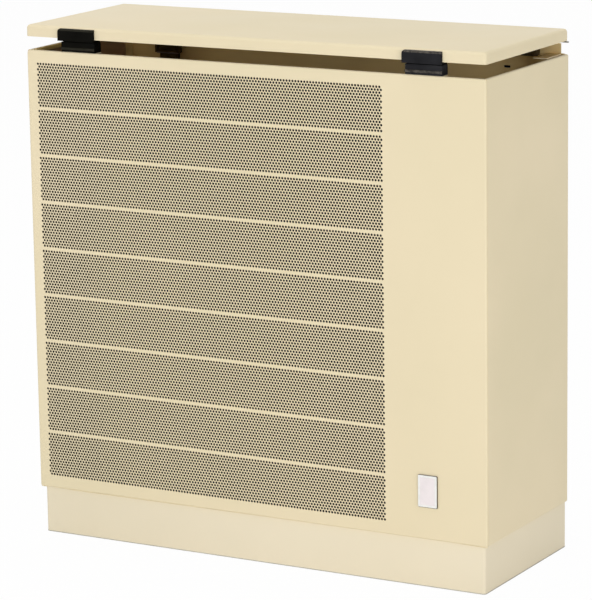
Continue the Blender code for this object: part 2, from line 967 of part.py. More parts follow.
def make_shelf():
    outline = rectangle(
        partition_left - shelf_overlap,
        front + shelf_front_gap,
        half_width - flange_width - seam,
        plate_front - seam,
    )
    loops = [
        outline,
        circle(valve_x, valve_y, spindle_radius + spindle_hole_play, round_steps),
        circle(piezo_x, piezo_y, piezo_radius + duct_play, round_steps),
    ]
    place = (0, 0, (shelf_under + shelf_top) / 2)
    flat_sheet("control_shelf", loops, partition_sheet, place, level, cream_enamel)


# Combustion chamber and heat exchanger


def make_chamber():
    outer = rectangle(exchanger_left, exchanger_front, exchanger_right, exchanger_back)
    inner = rectangle(
        exchanger_left + exchanger_wall,
        exchanger_front + exchanger_wall,
        exchanger_right - exchanger_wall,
        exchanger_back - exchanger_wall,
    )
    place = (0, 0, (chamber_bottom + chamber_top) / 2)
    chamber = flat_sheet(
        "combustion_chamber", [outer, inner], chamber_height, place, level, dark_enamel
    )
    chamber = as_mesh(chamber)
    middle = window_x()
    window = block(
        "window_hole",
        (middle - window_width / 2, exchanger_front - overrun, window_z() - window_height / 2),
        (
            middle + window_width / 2,
            exchanger_front + exchanger_wall + overrun,
            window_z() + window_height / 2,
        ),
        dark_enamel,
    )
    combine(chamber, window, "DIFFERENCE")
    neck = cylinder(
        "neck_hole",
        burner_neck_radius + duct_play,
        -exchanger_wall - overrun,
        exchanger_wall + overrun,
        (exchanger_right - exchanger_wall / 2, burner_y, burner_z),
        axis_to_left,
        dark_enamel,
        round_steps,
    )
    combine(chamber, neck, "DIFFERENCE")


def make_exchanger():
    """A box closed at the top, with upright fins down its front and a flue hole at its back."""
    exchanger = block(
        "heat_exchanger",
        (exchanger_left, exchanger_front, exchanger_bottom),
        (exchanger_right, exchanger_back, exchanger_top),
        dark_enamel,
    )
    combine(exchanger, make_fins(), "UNION")
    cavity = block(
        "exchanger_cavity",
        (
            exchanger_left + exchanger_wall,
            exchanger_front + exchanger_wall,
            exchanger_bottom - overrun,
        ),
        (
            exchanger_right - exchanger_wall,
            exchanger_back - exchanger_wall,
            exchanger_top - exchanger_wall,
        ),
        dark_enamel,
    )
    combine(exchanger, cavity, "DIFFERENCE")
    outlet = cylinder(
        "flue_hole",
        flue_radius - flue_sheet,
        -exchanger_wall - overrun,
        exchanger_wall + overrun,
        (flue_x, exchanger_back - exchanger_wall / 2, flue_z),
        axis_to_back,
        dark_enamel,
        round_steps,
    )
    combine(exchanger, outlet, "DIFFERENCE")


def make_fins():
    """Upright fins in one row, each sunk half the wall's thickness into the exchanger."""
    root = exchanger_front + exchanger_wall / 2
    depth = root - (exchanger_front - fin_depth)
    pitch = (exchanger_right - exchanger_left - fin_thickness) / (fin_count - 1)
    form = bmesh.new()
    for i in range(fin_count):
        middle = exchanger_left + fin_thickness / 2 + i * pitch
        fin = bmesh.ops.create_cube(form, size=1)["verts"]
        bmesh.ops.scale(form, vec=(fin_thickness, depth, exchanger_height), verts=fin)
        bmesh.ops.translate(form, vec=(middle, 0, 0), verts=fin)
    place = (0, root - depth / 2, (exchanger_bottom + exchanger_top) / 2)
    return add_piece("fins", mesh_from("fins", form), place, level, dark_enamel)


def make_bracket(name, bottom):
    """A channel from the back plate to the exchanger, its web on the back plate."""
    depth = plate_front - seam - exchanger_back - seam
    outline = [
        (-depth, 0),
        (0, 0),
        (0, bracket_height),
        (-depth, bracket_height),
        (-depth, bracket_height - bracket_sheet),
        (-bracket_sheet, bracket_height - bracket_sheet),
        (-bracket_sheet, bracket_sheet),
        (-depth, bracket_sheet),
    ]
    place = (flue_x, plate_front - seam, bottom)
    flat_sheet(name, [outline], bracket_length, place, facing_side, zinc_steel)


def window_x():
    return exchanger_right - window_side_gap - window_width / 2


def window_z():
    return chamber_bottom + window_bottom_gap + window_height / 2


def make_window():
    across, up = window_x(), window_z()
    frame_half = window_width / 2 + window_frame_width
    frame_rise = window_height / 2 + window_frame_width
    frame_back = exchanger_front - seam
    loops = [
        rectangle(across - frame_half, up - frame_rise, across + frame_half, up + frame_rise),
        rectangle(
            across - window_width / 2,
            up - window_height / 2,
            across + window_width / 2,
            up + window_height / 2,
        ),
    ]
    place = (0, frame_back - window_frame_thickness / 2, 0)
    flat_sheet("window_frame", loops, window_frame_thickness, place, facing_front, zinc_steel)
    half_glass = Vector((window_width / 2 - seam, 0, window_height / 2 - seam))
    middle = Vector((across, frame_back - seam, up))
    depth = Vector((0, window_glass_thickness, 0))
    block("window_glass", middle - half_glass - depth, middle + half_glass, clear_glass)


# Burner, injector and pilot


def make_burner():
    left = exchanger_left + exchanger_wall + burner_end_gap
    right = exchanger_right - exchanger_wall - burner_end_gap
    neck_end = right + burner_end_gap + burner_neck_length
    profile = [
        (0, 0),
        (burner_neck_radius, 0),
        (burner_neck_radius, right - neck_end),
        (burner_radius, right - neck_end - burner_neck_radius / 2),
        (burner_radius, left - neck_end + burner_neck_radius),
        (burner_radius - burner_neck_radius / 2, left - neck_end),
        (0, left - neck_end),
    ]
    place = (neck_end, burner_y, burner_z)
    turned("burner_tube", profile, place, (0, math.pi / 2, 0), bright_steel, round_steps)
    return neck_end


def make_cradle(name, middle):
    """A cross bar that the burner lies on, with a shallow saddle."""
    top = burner_z - burner_radius * saddle_share
    inner_front = exchanger_front + exchanger_wall + seam
    inner_back = exchanger_back - exchanger_wall - seam
    bar = block(
        name,
        (middle - cradle_width / 2, inner_front, top - cradle_height),
        (middle + cradle_width / 2, inner_back, top),
        zinc_steel,
    )
    saddle = cylinder(
        name + "_saddle",
        burner_radius + seam,
        -cradle_width,
        cradle_width,
        (middle, burner_y, burner_z),
        axis_to_left,
        zinc_steel,
        round_steps,
    )
    combine(bar, saddle, "DIFFERENCE")


def make_injector(neck_end):
    """A holder from the burner's neck through the partition, with a flange on the far side."""
    flange_from = partition_right + seam
    total = flange_from + injector_flange_thickness + injector_length - neck_end - seam
    flange_low = flange_from - neck_end - seam
    flange_high = flange_low + injector_flange_thickness
    profile = [
        (0, total),
        (injector_radius, total),
        (injector_radius, flange_high),
        (injector_flange_radius, flange_high),
        (injector_flange_radius, flange_low),
        (injector_radius, flange_low),
        (injector_radius, injector_radius / 2),
        (injector_radius / 2, 0),
        (0, 0),
    ]
    place = (neck_end + seam, burner_y, burner_z)
    turned("injector_holder", profile, place, (0, math.pi / 2, 0), brass, round_steps)
    return neck_end + seam + total


def make_manifold(start):
    down_x = valve_left - manifold_lead_out
    route = [
        (valve_left - seam, burner_y, port_z),
        (down_x, burner_y, port_z),
        (down_x, burner_y, burner_z),
        (start + seam, burner_y, burner_z),
    ]
    pipe("manifold_pipe", bent(route, manifold_bend), manifold_radius, copper)


def pilot_x(number):
    """Places along the pilot shelf: burner, thermocouple, electrode."""
    shelf_right = exchanger_right - exchanger_wall - pilot_side_gap
    return shelf_right - pilot_shelf_width / 2 + (number - 1) * pilot_spacing


def pilot_y():
    return exchanger_front + exchanger_wall + seam + pilot_shelf_depth / 2


def pilot_top():
    return chamber_bottom + pilot_shelf_height


def lead_y(number):
    """The leads run side by side, either side of the pilot's own depth."""
    return pilot_y() + number * 2 * lead_radius


def make_pilot():
    shelf_right = exchanger_right - exchanger_wall - pilot_side_gap
    front_wall = exchanger_front + exchanger_wall + seam
    top = pilot_top()
    block(
        "pilot_bracket",
        (shelf_right - pilot_shelf_width, front_wall, top - pilot_shelf_thickness),
        (shelf_right, front_wall + pilot_shelf_depth, top),
        zinc_steel,
    )
    neck = pilot_radius * pilot_neck_share
    upper, lower, foot = (pilot_height * share for share in pilot_head_shares)
    head = [
        (0, pilot_height),
        (neck, pilot_height),
        (pilot_radius, upper),
        (pilot_radius, lower),
        (neck, foot),
        (neck, 0),
        (0, 0),
    ]
    place = (pilot_x(0), pilot_y(), top + seam)
    turned("pilot_burner", head, place, level, brass, small_round_steps)
    upper, lower, foot = (probe_height * share for share in probe_height_shares)
    probe = [
        (0, probe_height),
        (probe_radius * probe_tip_share, probe_height),
        (probe_radius, upper),
        (probe_radius, lower),
        (probe_radius * probe_foot_share, foot),
        (probe_radius * probe_foot_share, 0),
        (0, 0),
    ]
    place = (pilot_x(1), pilot_y(), top + seam)
    turned("thermocouple", probe, place, level, bright_steel, small_round_steps)
    spark = [
        (0, electrode_height + electrode_tip),
        (electrode_tip_radius, electrode_height + electrode_tip),
        (electrode_tip_radius, electrode_height),
        (electrode_radius, electrode_height),
        (electrode_radius, 0),
        (0, 0),
    ]
    place = (pilot_x(2), pilot_y(), top + seam)
    turned("spark_electrode", spark, place, level, ceramic, small_round_steps)


def make_lead(name, number, side, end):
    """A lead from under the pilot shelf, through the partition, up to the controls."""
    start = (pilot_x(number), lead_y(side), pilot_top() - pilot_shelf_thickness - seam)
    rise_x = partition_right + lead_bend + number * lead_spacing
    route = [
        start,
        (start[0], lead_y(side), lead_z),
        (rise_x, lead_y(side), lead_z),
        (rise_x, lead_y(side), end[2] - 2 * lead_bend - number * lead_spacing),
        (end[0], end[1], end[2] - 2 * lead_bend - number * lead_spacing),
        end,
    ]
    pipe(name, bent(route, lead_bend), lead_radius, dark_enamel, 1)


# Gas valve, thermostat and igniter


def make_valve():
    low = Vector((valve_left, valve_y - valve_depth / 2, valve_bottom))
    high = Vector((valve_left + valve_width, valve_y + valve_depth / 2, valve_top))
    form = box_form(high - low)
    round_edges(form, form.edges[:], valve_chamfer, 1)
    name = "gas_valve_body"
    add_piece(name, mesh_from(name, form), (low + high) / 2, level, cast_alloy)
    bracket_z = valve_bottom + valve_bracket_lift
    make_spacer(
        "valve_bracket",
        valve_left - seam,
        valve_y,
        bracket_z,
        valve_bracket_height,
        valve_bracket_depth,
        valve_bracket_sheet,
    )


def make_spacer(name, right, middle_y, middle_z, height, depth, thickness):
    """A channel from the partition to a body on its right."""
    left = partition_right + seam
    across = right - left
    outline = [
        (0, -depth / 2),
        (across, -depth / 2),
        (across, -depth / 2 + thickness),
        (thickness, -depth / 2 + thickness),
        (thickness, depth / 2 - thickness),
        (across, depth / 2 - thickness),
        (across, depth / 2),
        (0, depth / 2),
    ]
    flat_sheet(name, [outline], height, (left, middle_y, middle_z), level, zinc_steel)


def spindle_bottom():
    return valve_top + bonnet_foot_height + spindle_seat


def make_bonnet():
    """The valve's head, with the bore that the spindle slides in."""
    floor = spindle_bottom() - spindle_travel - spindle_end_room - valve_top
    bore = spindle_radius + spindle_clearance
    profile = [
        (0, floor),
        (bore, floor),
        (bore, bonnet_height),
        (bonnet_radius, bonnet_height),
        (bonnet_radius, bonnet_foot_height),
        (bonnet_foot_radius, bonnet_foot_height),
        (bonnet_foot_radius, 0),
        (0, 0),
    ]
    place = (valve_x, valve_y, valve_top + seam)
    turned("valve_bonnet", profile, place, level, brass, round_steps)


def knob_bottom():
    return shelf_top + spindle_travel + knob_clearance


def make_spindle():
    top = knob_bottom() + knob_bore_depth - seam
    low = spindle_bottom() - knob_bottom()
    high = top - knob_bottom()
    place = (valve_x, valve_y, knob_bottom())
    return cylinder("valve_spindle", spindle_radius, low, high, place, level, zinc_steel, round_steps)


def make_knob():
    """A dial knob, bored for its spindle, with a raised pointer bar."""
    bore = spindle_radius + spindle_clearance
    profile = [
        (0, knob_height),
        (knob_radius - knob_taper - knob_bevel, knob_height),
        (knob_radius - knob_taper, knob_height - knob_bevel),
        (knob_radius, 0),
        (bore, 0),
        (bore, knob_bore_depth),
        (0, knob_bore_depth),
    ]
    place = (valve_x, valve_y, knob_bottom())
    knob = turned("thermostat_knob", profile, place, level, black_plastic, round_steps)
    top = knob_bottom() + knob_height
    far = valve_y - knob_radius + knob_taper + knob_bevel
    pointer = block(
        "knob_pointer",
        (valve_x - knob_pointer_width / 2, far, top - knob_pointer_height),
        (valve_x + knob_pointer_width / 2, far + knob_pointer_length, top + knob_pointer_height),
        black_plastic,
    )
    combine(knob, pointer, "UNION")
    return knob


def make_piezo():
    """The igniter's body hangs in the shelf by its flange, bored for the button."""
    bore = button_radius + button_clearance
    floor = piezo_flange_height - button_seat - button_travel - button_end_room
    profile = [
        (0, floor),
        (bore, floor),
        (bore, piezo_flange_height),
        (piezo_flange_radius, piezo_flange_height),
        (piezo_flange_radius, 0),
        (piezo_radius, 0),
        (piezo_radius, -piezo_length),
        (0, -piezo_length),
    ]
    place = (piezo_x, piezo_y, shelf_top + seam)
    turned("piezo_body", profile, place, level, black_plastic, round_steps)
    return shelf_top + seam - piezo_length


def make_button():
    face = shelf_top + seam + piezo_flange_height
    edge = button_radius * button_edge_share
    profile = [
        (0, button_height),
        (button_radius - edge, button_height),
        (button_radius, button_height - edge),
        (button_radius, -button_seat),
        (0, -button_seat),
    ]
    return turned(
        "piezo_button", profile, (piezo_x, piezo_y, face), level, white_plastic, small_round_steps
    )


# Gas cock and pipes


def make_cock():
    low = casing_bottom + cock_rise
    profile = [
        (0, cock_height),
        (riser_radius + cock_mouth_wall, cock_height),
        (cock_radius, cock_height * (1 - cock_shoulder_share)),
        (cock_radius, cock_height * cock_shoulder_share),
        (inlet_radius + cock_mouth_wall, 0),
        (0, 0),
    ]
    place = (valve_x, valve_y, low)
    body = turned("gas_cock_body", profile, place, level, brass, round_steps)
    middle = low + cock_height / 2
    boss = cylinder(
        "cock_boss",
        cock_boss_radius,
        0,
        cock_radius + cock_boss_length,
        (valve_x, valve_y, middle),
        axis_to_front,
        brass,
        round_steps,
    )
    combine(body, boss, "UNION")
    make_spacer(
        "cock_bracket",
        valve_x - cock_radius - seam,
        valve_y,
        middle,
        cock_bracket_height,
        cock_bracket_depth,
        cock_bracket_sheet,
    )
    riser = [(valve_x, valve_y, low + cock_height + seam), (valve_x, valve_y, valve_bottom - seam)]
    pipe("riser_pipe", riser, riser_radius, copper)
    inlet = [(valve_x, valve_y, inlet_floor_gap), (valve_x, valve_y, low - seam)]
    pipe("inlet_pipe", inlet, inlet_radius, brass)
    return middle


def make_lever(middle):
    """A flat lever, upright when the cock is open."""
    half = lever_width / 2
    reach = lever_length - half
    outline = [(-half, 0)]
    for i in range(arc_steps + 1):
        turn = math.pi * (1 - i / arc_steps)
        outline.append((half * math.cos(turn), reach + half * math.sin(turn)))
    outline.append((half, 0))
    for i in range(1, arc_steps):
        turn = -math.pi * i / arc_steps
        outline.append((half * math.cos(turn), half * math.sin(turn)))
    face = valve_y - cock_radius - cock_boss_length - seam
    place = (valve_x, face - lever_thickness / 2, middle)
    lever = flat_sheet("cock_lever", [outline], lever_thickness, place, facing_front, zinc_steel)
    lever = as_mesh(lever)
    hub = cylinder(
        "lever_hub",
        lever_hub_radius,
        0,
        lever_thickness,
        (valve_x, face, middle),
        axis_to_front,
        zinc_steel,
        round_steps,
    )
    combine(lever, hub, "UNION")
    return lever


# Sensor bulb, its clip and its tube


def make_bulb():
    half = bulb_length / 2
    edge = bulb_radius / 2
    profile = [
        (0, half),
        (bulb_radius - edge, half),
        (bulb_radius, half - edge),
        (bulb_radius, edge - half),
        (bulb_radius - edge, -half),
        (0, -half),
    ]
    middle = (bulb_x, bulb_front + half, bulb_z)
    turned("sensor_bulb", profile, middle, axis_to_back, copper, small_round_steps)
    reach = bulb_radius + clip_play + clip_wall
    left = partition_right + seam - bulb_x
    outline = [(left, -reach), (0, -reach)]
    for i in range(1, arc_steps):
        turn = math.pi * (i / arc_steps - 0.5)
        outline.append((reach * math.cos(turn), reach * math.sin(turn)))
    outline += [(0, reach), (left, reach)]
    loops = [outline, circle(0, 0, bulb_radius + clip_play, small_round_steps)]
    flat_sheet("bulb_clip", loops, clip_thickness, middle, facing_front, zinc_steel)


def make_capillary():
    """The fine tube from the valve down to the bulb, kept to the casing's right."""
    right = valve_left + valve_width
    out = right + capillary_reach
    bulb_end = bulb_front + bulb_length
    behind = bulb_end + 2 * capillary_bend
    route = [
        (right + seam, valve_y, valve_bottom + valve_height / 2),
        (out, valve_y, valve_bottom + valve_height / 2),
        (out, valve_y, bulb_z),
        (out, behind, bulb_z),
        (bulb_x, behind, bulb_z),
        (bulb_x, bulb_end + seam, bulb_z),
    ]
    pipe("capillary_tube", bent(route, capillary_bend), capillary_radius, copper, 1)


# Flue and air spigots


def make_spigots():
    reach = wall - exchanger_back - seam
    profile = [
        (flue_flange_radius, 0),
        (flue_flange_radius, -flue_flange_thickness),
        (flue_radius, -flue_flange_thickness),
        (flue_radius, -reach),
        (flue_radius - flue_sheet, -reach),
        (flue_radius - flue_sheet, 0),
    ]
    place = (flue_x, exchanger_back + seam, flue_z)
    turned("flue_spigot", profile, place, axis_to_front, bright_steel, round_steps, closed=True)
    plate_rear = wall - plate_back - seam
    through = plate_back + seam - plate_front + overrun
    profile = [
        (air_flange_radius, flue_flange_thickness),
        (air_flange_radius, 0),
        (air_radius, 0),
        (air_radius, -through),
        (air_radius - flue_sheet, -through),
        (air_radius - flue_sheet, plate_rear),
        (air_radius, plate_rear),
        (air_radius, flue_flange_thickness),
    ]
    place = (flue_x, plate_back + seam, flue_z)
    turned("air_spigot", profile, place, axis_to_back, zinc_steel, round_steps, closed=True)


# Everything in order

make_plinth()
make_front_panel()
make_back_plate()
make_screws()
for word, hand in (("left", -1), ("right", 1)):
    make_side_panel(f"side_panel_{word}", hand)
    make_gusset(f"corner_gusset_{word}", hand)
    make_hinge_block(f"hinge_block_{word}", hand)
    make_lid_rest(f"lid_rest_{word}", hand)
make_hinge_rod()
make_badge()
make_hanger()
make_wall_rail("wall_rail_upper", upper_rail_z)
make_wall_rail("wall_rail_lower", lower_rail_z)
make_partition()
make_shelf()
make_chamber()
make_exchanger()
make_bracket("exchanger_bracket_upper", upper_bracket_z)
make_bracket("exchanger_bracket_lower", lower_bracket_z)
make_window()
burner_end = make_burner()
make_cradle("burner_cradle_left", exchanger_left + exchanger_wall + cradle_end_gap)
make_cradle("burner_cradle_right", exchanger_right - exchanger_wall - cradle_end_gap)
injector_end = make_injector(burner_end)
make_manifold(injector_end)
make_pilot()
make_valve()
make_bonnet()
piezo_end = make_piezo()
make_lead("ignition_lead", 2, -1, (piezo_x, piezo_y, piezo_end - seam))
lead_end = (valve_x - valve_width / 4, valve_y - valve_depth / 4, valve_bottom - seam)
make_lead("thermocouple_lead", 1, 1, lead_end)
cock_middle = make_cock()
make_bulb()
make_capillary()
make_spigots()

lid_pieces = [make_lid(), make_liner(), make_leaf("lid_hinge_leaf_left", -1)]
lid_pieces.append(make_leaf("lid_hinge_leaf_right", 1))
hang_on(lid_pieces, "lid_hinge_axis", (0, rod_y, rod_z))
knob_place = (valve_x, valve_y, knob_bottom())
hang_on([make_spindle(), make_knob()], "thermostat_axis", knob_place)
hang_on([make_button()], "button_axis", (piezo_x, piezo_y, shelf_top))
lever_place = (valve_x, valve_y - cock_radius - cock_boss_length, cock_middle)
hang_on([make_lever(cock_middle)], "cock_axis", lever_place)
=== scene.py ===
import math

import bmesh
import bpy
from mathutils import Matrix, Vector


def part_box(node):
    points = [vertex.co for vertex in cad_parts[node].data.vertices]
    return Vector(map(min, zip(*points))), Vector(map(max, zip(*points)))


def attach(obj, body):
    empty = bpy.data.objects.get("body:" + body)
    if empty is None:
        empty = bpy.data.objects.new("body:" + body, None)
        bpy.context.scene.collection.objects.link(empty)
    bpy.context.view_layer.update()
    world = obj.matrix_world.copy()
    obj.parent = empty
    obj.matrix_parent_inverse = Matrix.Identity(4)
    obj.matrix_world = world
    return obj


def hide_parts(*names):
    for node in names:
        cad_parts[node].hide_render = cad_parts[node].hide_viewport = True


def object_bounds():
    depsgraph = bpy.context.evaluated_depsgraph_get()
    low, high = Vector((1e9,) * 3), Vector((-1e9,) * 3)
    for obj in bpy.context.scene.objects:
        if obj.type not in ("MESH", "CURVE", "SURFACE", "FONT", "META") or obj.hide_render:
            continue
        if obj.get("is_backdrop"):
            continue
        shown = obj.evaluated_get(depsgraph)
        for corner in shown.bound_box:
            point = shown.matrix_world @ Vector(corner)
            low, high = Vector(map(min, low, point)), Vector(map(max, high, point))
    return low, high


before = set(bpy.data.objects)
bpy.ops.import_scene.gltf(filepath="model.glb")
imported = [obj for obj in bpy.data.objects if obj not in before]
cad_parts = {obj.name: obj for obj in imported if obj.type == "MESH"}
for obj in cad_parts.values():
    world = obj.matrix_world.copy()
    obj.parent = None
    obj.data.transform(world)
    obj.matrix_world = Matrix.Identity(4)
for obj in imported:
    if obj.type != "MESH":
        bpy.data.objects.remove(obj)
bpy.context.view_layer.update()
print("frame loaded:", len(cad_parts), "nodes")

quarter = math.pi / 2
fullTurn = 2 * math.pi
weld = 0.000001  # points closer than this are one
near = 0.001  # what lies this close to a side of a box belongs to that side
parallel = 0.999  # two directions with at least this cosine between them are parallel
alike = 0.9  # and with this one they are roughly so
sharpFrom = math.radians(40)  # edges with more turn than this are softened
towardsViewer = (0, -1, 0)


# Shaping helpers


def shifted(form, place):
    bmesh.ops.translate(form, vec=place, verts=form.verts)
    return form


def turned(form, angle, axis):
    bmesh.ops.rotate(form, verts=form.verts, cent=(0, 0, 0), matrix=Matrix.Rotation(angle, 3, axis))
    return form


def boxForm(low, high):
    form = bmesh.new()
    bmesh.ops.create_cube(form, size=1)
    bmesh.ops.scale(form, vec=Vector(high) - Vector(low), verts=form.verts)
    shifted(form, (Vector(high) + Vector(low)) / 2)
    form.normal_update()
    return form


def everything(form):
    return form.verts[:] + form.edges[:] + form.faces[:]


def facing(form, direction, atLeast=alike):
    return [face for face in form.faces if face.normal.dot(Vector(direction)) > atLeast]


def running(form, direction):
    found = []
    for edge in form.edges:
        run = (edge.verts[1].co - edge.verts[0].co).normalized()
        if abs(run.dot(Vector(direction))) > parallel:
            found.append(edge)
    return found


def roundOff(form, edges, radius, steps):
    bmesh.ops.bevel(
        form, geom=edges, affect="EDGES", offset=radius, segments=steps, profile=0.5, material=-1
    )
    form.normal_update()


def inset(form, faces, width, depth=0):
    bmesh.ops.inset_individual(form, faces=faces, thickness=width, depth=depth, use_even_offset=True)


def takeOff(form, faces):
    bmesh.ops.delete(form, geom=faces, context="FACES")


def cutAlong(form, place, direction):
    bmesh.ops.bisect_plane(form, geom=everything(form), plane_co=place, plane_no=direction)
    form.normal_update()


def spunForm(profile, steps):
    # (radius, height) points spun round Z
    form = bmesh.new()
    points = [form.verts.new((radius, 0, height)) for radius, height in profile]
    for pair in zip(points, points[1:]):
        form.edges.new(pair)
    bmesh.ops.spin(
        form,
        geom=form.verts[:] + form.edges[:],
        cent=(0, 0, 0),
        axis=(0, 0, 1),
        angle=fullTurn,
        steps=steps,
        use_merge=True,
    )
    bmesh.ops.remove_doubles(form, verts=form.verts, dist=weld)
    bmesh.ops.recalc_face_normals(form, faces=form.faces)
    return form


def repeated(form, step, copies):
    bmesh.ops.spin(
        form,
        geom=everything(form),
        cent=(0, 0, 0),
        axis=(0, 0, 1),
        dvec=step,
        angle=0,
        steps=copies,
        use_duplicate=True,
    )
    return form


def joined(forms):
    whole = bmesh.new()
    for form in forms:
        part = bpy.data.meshes.new("part")
        form.to_mesh(part)
        form.free()
        whole.from_mesh(part)
        bpy.data.meshes.remove(part)
    return whole


def mirrored(form):
    bmesh.ops.scale(form, vec=(-1, 1, 1), verts=form.verts)
    bmesh.ops.reverse_faces(form, faces=form.faces)
    form.normal_update()
    return form


def meshObject(name, form):
    mesh = bpy.data.meshes.new(name)
    form.to_mesh(mesh)
    form.free()
    made = bpy.data.objects.new(name, mesh)
    bpy.context.scene.collection.objects.link(made)
    return made


def settle(piece):
    # works the modifiers into the mesh
    bpy.context.view_layer.update()
    shaped = piece.evaluated_get(bpy.context.evaluated_depsgraph_get())
    mesh = bpy.data.meshes.new_from_object(shaped)
    piece.modifiers.clear()
    piece.data = mesh


def cutAway(piece, form):
    cutter = meshObject("cutter", form)
    cut = piece.modifiers.new("cut", "BOOLEAN")
    cut.operation = "DIFFERENCE"
    cut.solver = "EXACT"
    cut.object = cutter
    settle(piece)
    bpy.data.objects.remove(cutter, do_unlink=True)


def makePiece(name, form, wall=0, soft=0):
    # wall gives an open shell its sheet inside the surface, soft rounds what is still sharp
    piece = meshObject(name, form)
    if wall:
        sheet = piece.modifiers.new("sheet", "SOLIDIFY")
        sheet.thickness = wall
        sheet.offset = -1
        sheet.use_even_offset = True
    if soft:
        edge = piece.modifiers.new("soft", "BEVEL")
        edge.width = soft
        edge.segments = 2
        edge.limit_method = "ANGLE"
        edge.angle_limit = sharpFrom
    if wall or soft:
        settle(piece)
    return piece


def dress(piece, finish, node=None, body="cabinet", crease=35):
    piece.data.shade_smooth()
    piece.data.set_sharp_from_angle(angle=math.radians(crease))
    piece.data.materials.clear()
    piece.data.materials.append(finish)
    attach(piece, body)
    if node:
        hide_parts(node)


def addPiece(name, form, finish, slot, node=None, body="cabinet", wall=0, soft=0, crease=35):
    dress(makePiece(name, form, wall, soft), finish, node, body, crease)


# Finishes, all on Object coordinates


def addNode(tree, kind, feeds=None, **options):
    # each feed is a socket to link from or a plain value
    made = tree.nodes.new(f"ShaderNode{kind}")
    for option, choice in options.items():
        setattr(made, option, choice)
    for socket, feed in (feeds or {}).items():
        if isinstance(feed, bpy.types.NodeSocket):
            tree.links.new(feed, made.inputs[socket])
        else:
            made.inputs[socket].default_value = feed
    return made


def startFinish(name, roughness, metallic=0.0):
    made = bpy.data.materials.new(name)
    made.use_nodes = True
    tree = made.node_tree
    shader = tree.nodes["Principled BSDF"]
    shader.inputs["Roughness"].default_value = roughness
    shader.inputs["Metallic"].default_value = metallic
    return made, tree, shader


def grain(tree, scale, detail=2, stretch=(1, 1, 1)):
    coords = addNode(tree, "TexCoord")
    mapping = addNode(tree, "Mapping", {"Vector": coords.outputs["Object"], "Scale": stretch})
    feeds = {"Vector": mapping.outputs["Vector"], "Scale": scale, "Detail": detail}
    return addNode(tree, "TexNoise", feeds).outputs["Fac"]


def tint(tree, source, shader, tones, low=0.35, high=0.65):
    ramp = addNode(tree, "ValToRGB", {"Fac": source})
    for element, place, tone in zip(ramp.color_ramp.elements, (low, high), tones):
        element.position = place
        element.color = (*tone, 1)
    tree.links.new(ramp.outputs["Color"], shader.inputs["Base Color"])
    return ramp.outputs["Color"]


def polish(tree, source, shader, gloss, low=0.3, high=0.7):
    feeds = {"Value": source, "From Min": low, "From Max": high, "To Min": gloss[0], "To Max": gloss[1]}
    span = addNode(tree, "MapRange", feeds)
    tree.links.new(span.outputs["Result"], shader.inputs["Roughness"])


def relief(tree, source, shader, height, under=None):
    bump = addNode(tree, "Bump", {"Height": source, "Strength": 1.0, "Distance": height})
    if under:
        tree.links.new(under, bump.inputs["Normal"])
    tree.links.new(bump.outputs["Normal"], shader.inputs["Normal"])
    return bump.outputs["Normal"]


def greater(tree, first, second):
    return addNode(tree, "Math", {0: first, 1: second}, operation="MAXIMUM").outputs["Value"]


creamSettings = {
    "tones": ((0.770, 0.674, 0.462), (0.812, 0.704, 0.490)),
    "driftScale": 2.6,
    "gloss": (0.36, 0.46),
    "smudgeScale": 9,
    "waveScale": 7,
    "waveHeight": 0.0012,
    "peelScale": 420,
    "peelHeight": 0.00004,
    "specular": 0.06,
}


def stoveEnamel(name, **changes):
    # sprayed and baked: a slow drift of tone, a little orange peel, an even semi-gloss
    settings = {**creamSettings, **changes}
    made, tree, shader = startFinish(name, settings["gloss"][0])
    tint(tree, grain(tree, settings["driftScale"], detail=3), shader, settings["tones"])
    polish(tree, grain(tree, settings["smudgeScale"], detail=4), shader, settings["gloss"])
    sheet = relief(tree, grain(tree, settings["waveScale"], detail=1), shader, settings["waveHeight"])
    relief(tree, grain(tree, settings["peelScale"]), shader, settings["peelHeight"], under=sheet)
    shader.inputs["Specular IOR Level"].default_value = settings["specular"]
    return made


def blended(tree, share, first, second):
    feeds = {"Factor": share, "A": first, "B": second}
    return addNode(tree, "Mix", feeds, data_type="RGBA").outputs["Result"]


innerShade = {
    "outward": (0, 1, 0),  # faces that look this way stay cream
    "plainFrom": 0.5,  # the cosine from which they do
    # the two tones of the painted shade: the deep one towards the left, the lighter one towards the right
    "hot": ((0.84, 0.54, 0.185), (0.92, 0.62, 0.235)),
    "mild": ((0.95, 0.72, 0.345), (1.0, 0.80, 0.42)),
    "hotAt": -0.31,
    "mildAt": 0.31,
    "patchScale": 5,
    "driftScale": 5,
}


def tannedSheet(name, **changes):
    # cream where it faces outward; where it faces the works it is painted brown shade, darker towards the
    # far left
    settings = {**innerShade, **changes}
    made = stoveEnamel(name, driftScale=settings["driftScale"])
    tree = made.node_tree
    shader = tree.nodes["Principled BSDF"]
    plain = shader.inputs["Base Color"].links[0].from_socket
    patches = grain(tree, settings["patchScale"], detail=3)
    hot = tint(tree, patches, shader, settings["hot"])
    mild = tint(tree, patches, shader, settings["mild"])
    place = addNode(tree, "SeparateXYZ", {"Vector": addNode(tree, "TexCoord").outputs["Object"]})
    feeds = {"Value": place.outputs["X"], "From Min": settings["hotAt"], "From Max": settings["mildAt"]}
    paintedShade = blended(tree, addNode(tree, "MapRange", feeds).outputs["Result"], hot, mild)
    feeds = {0: addNode(tree, "NewGeometry").outputs["True Normal"], 1: settings["outward"]}
    along = addNode(tree, "VectorMath", feeds, operation="DOT_PRODUCT")
    feeds = {0: along.outputs["Value"], 1: settings["plainFrom"]}
    outside = addNode(tree, "Math", feeds, operation="GREATER_THAN")
    chosen = blended(tree, outside.outputs["Value"], paintedShade, plain)
    tree.links.new(chosen, shader.inputs["Base Color"])
    return made


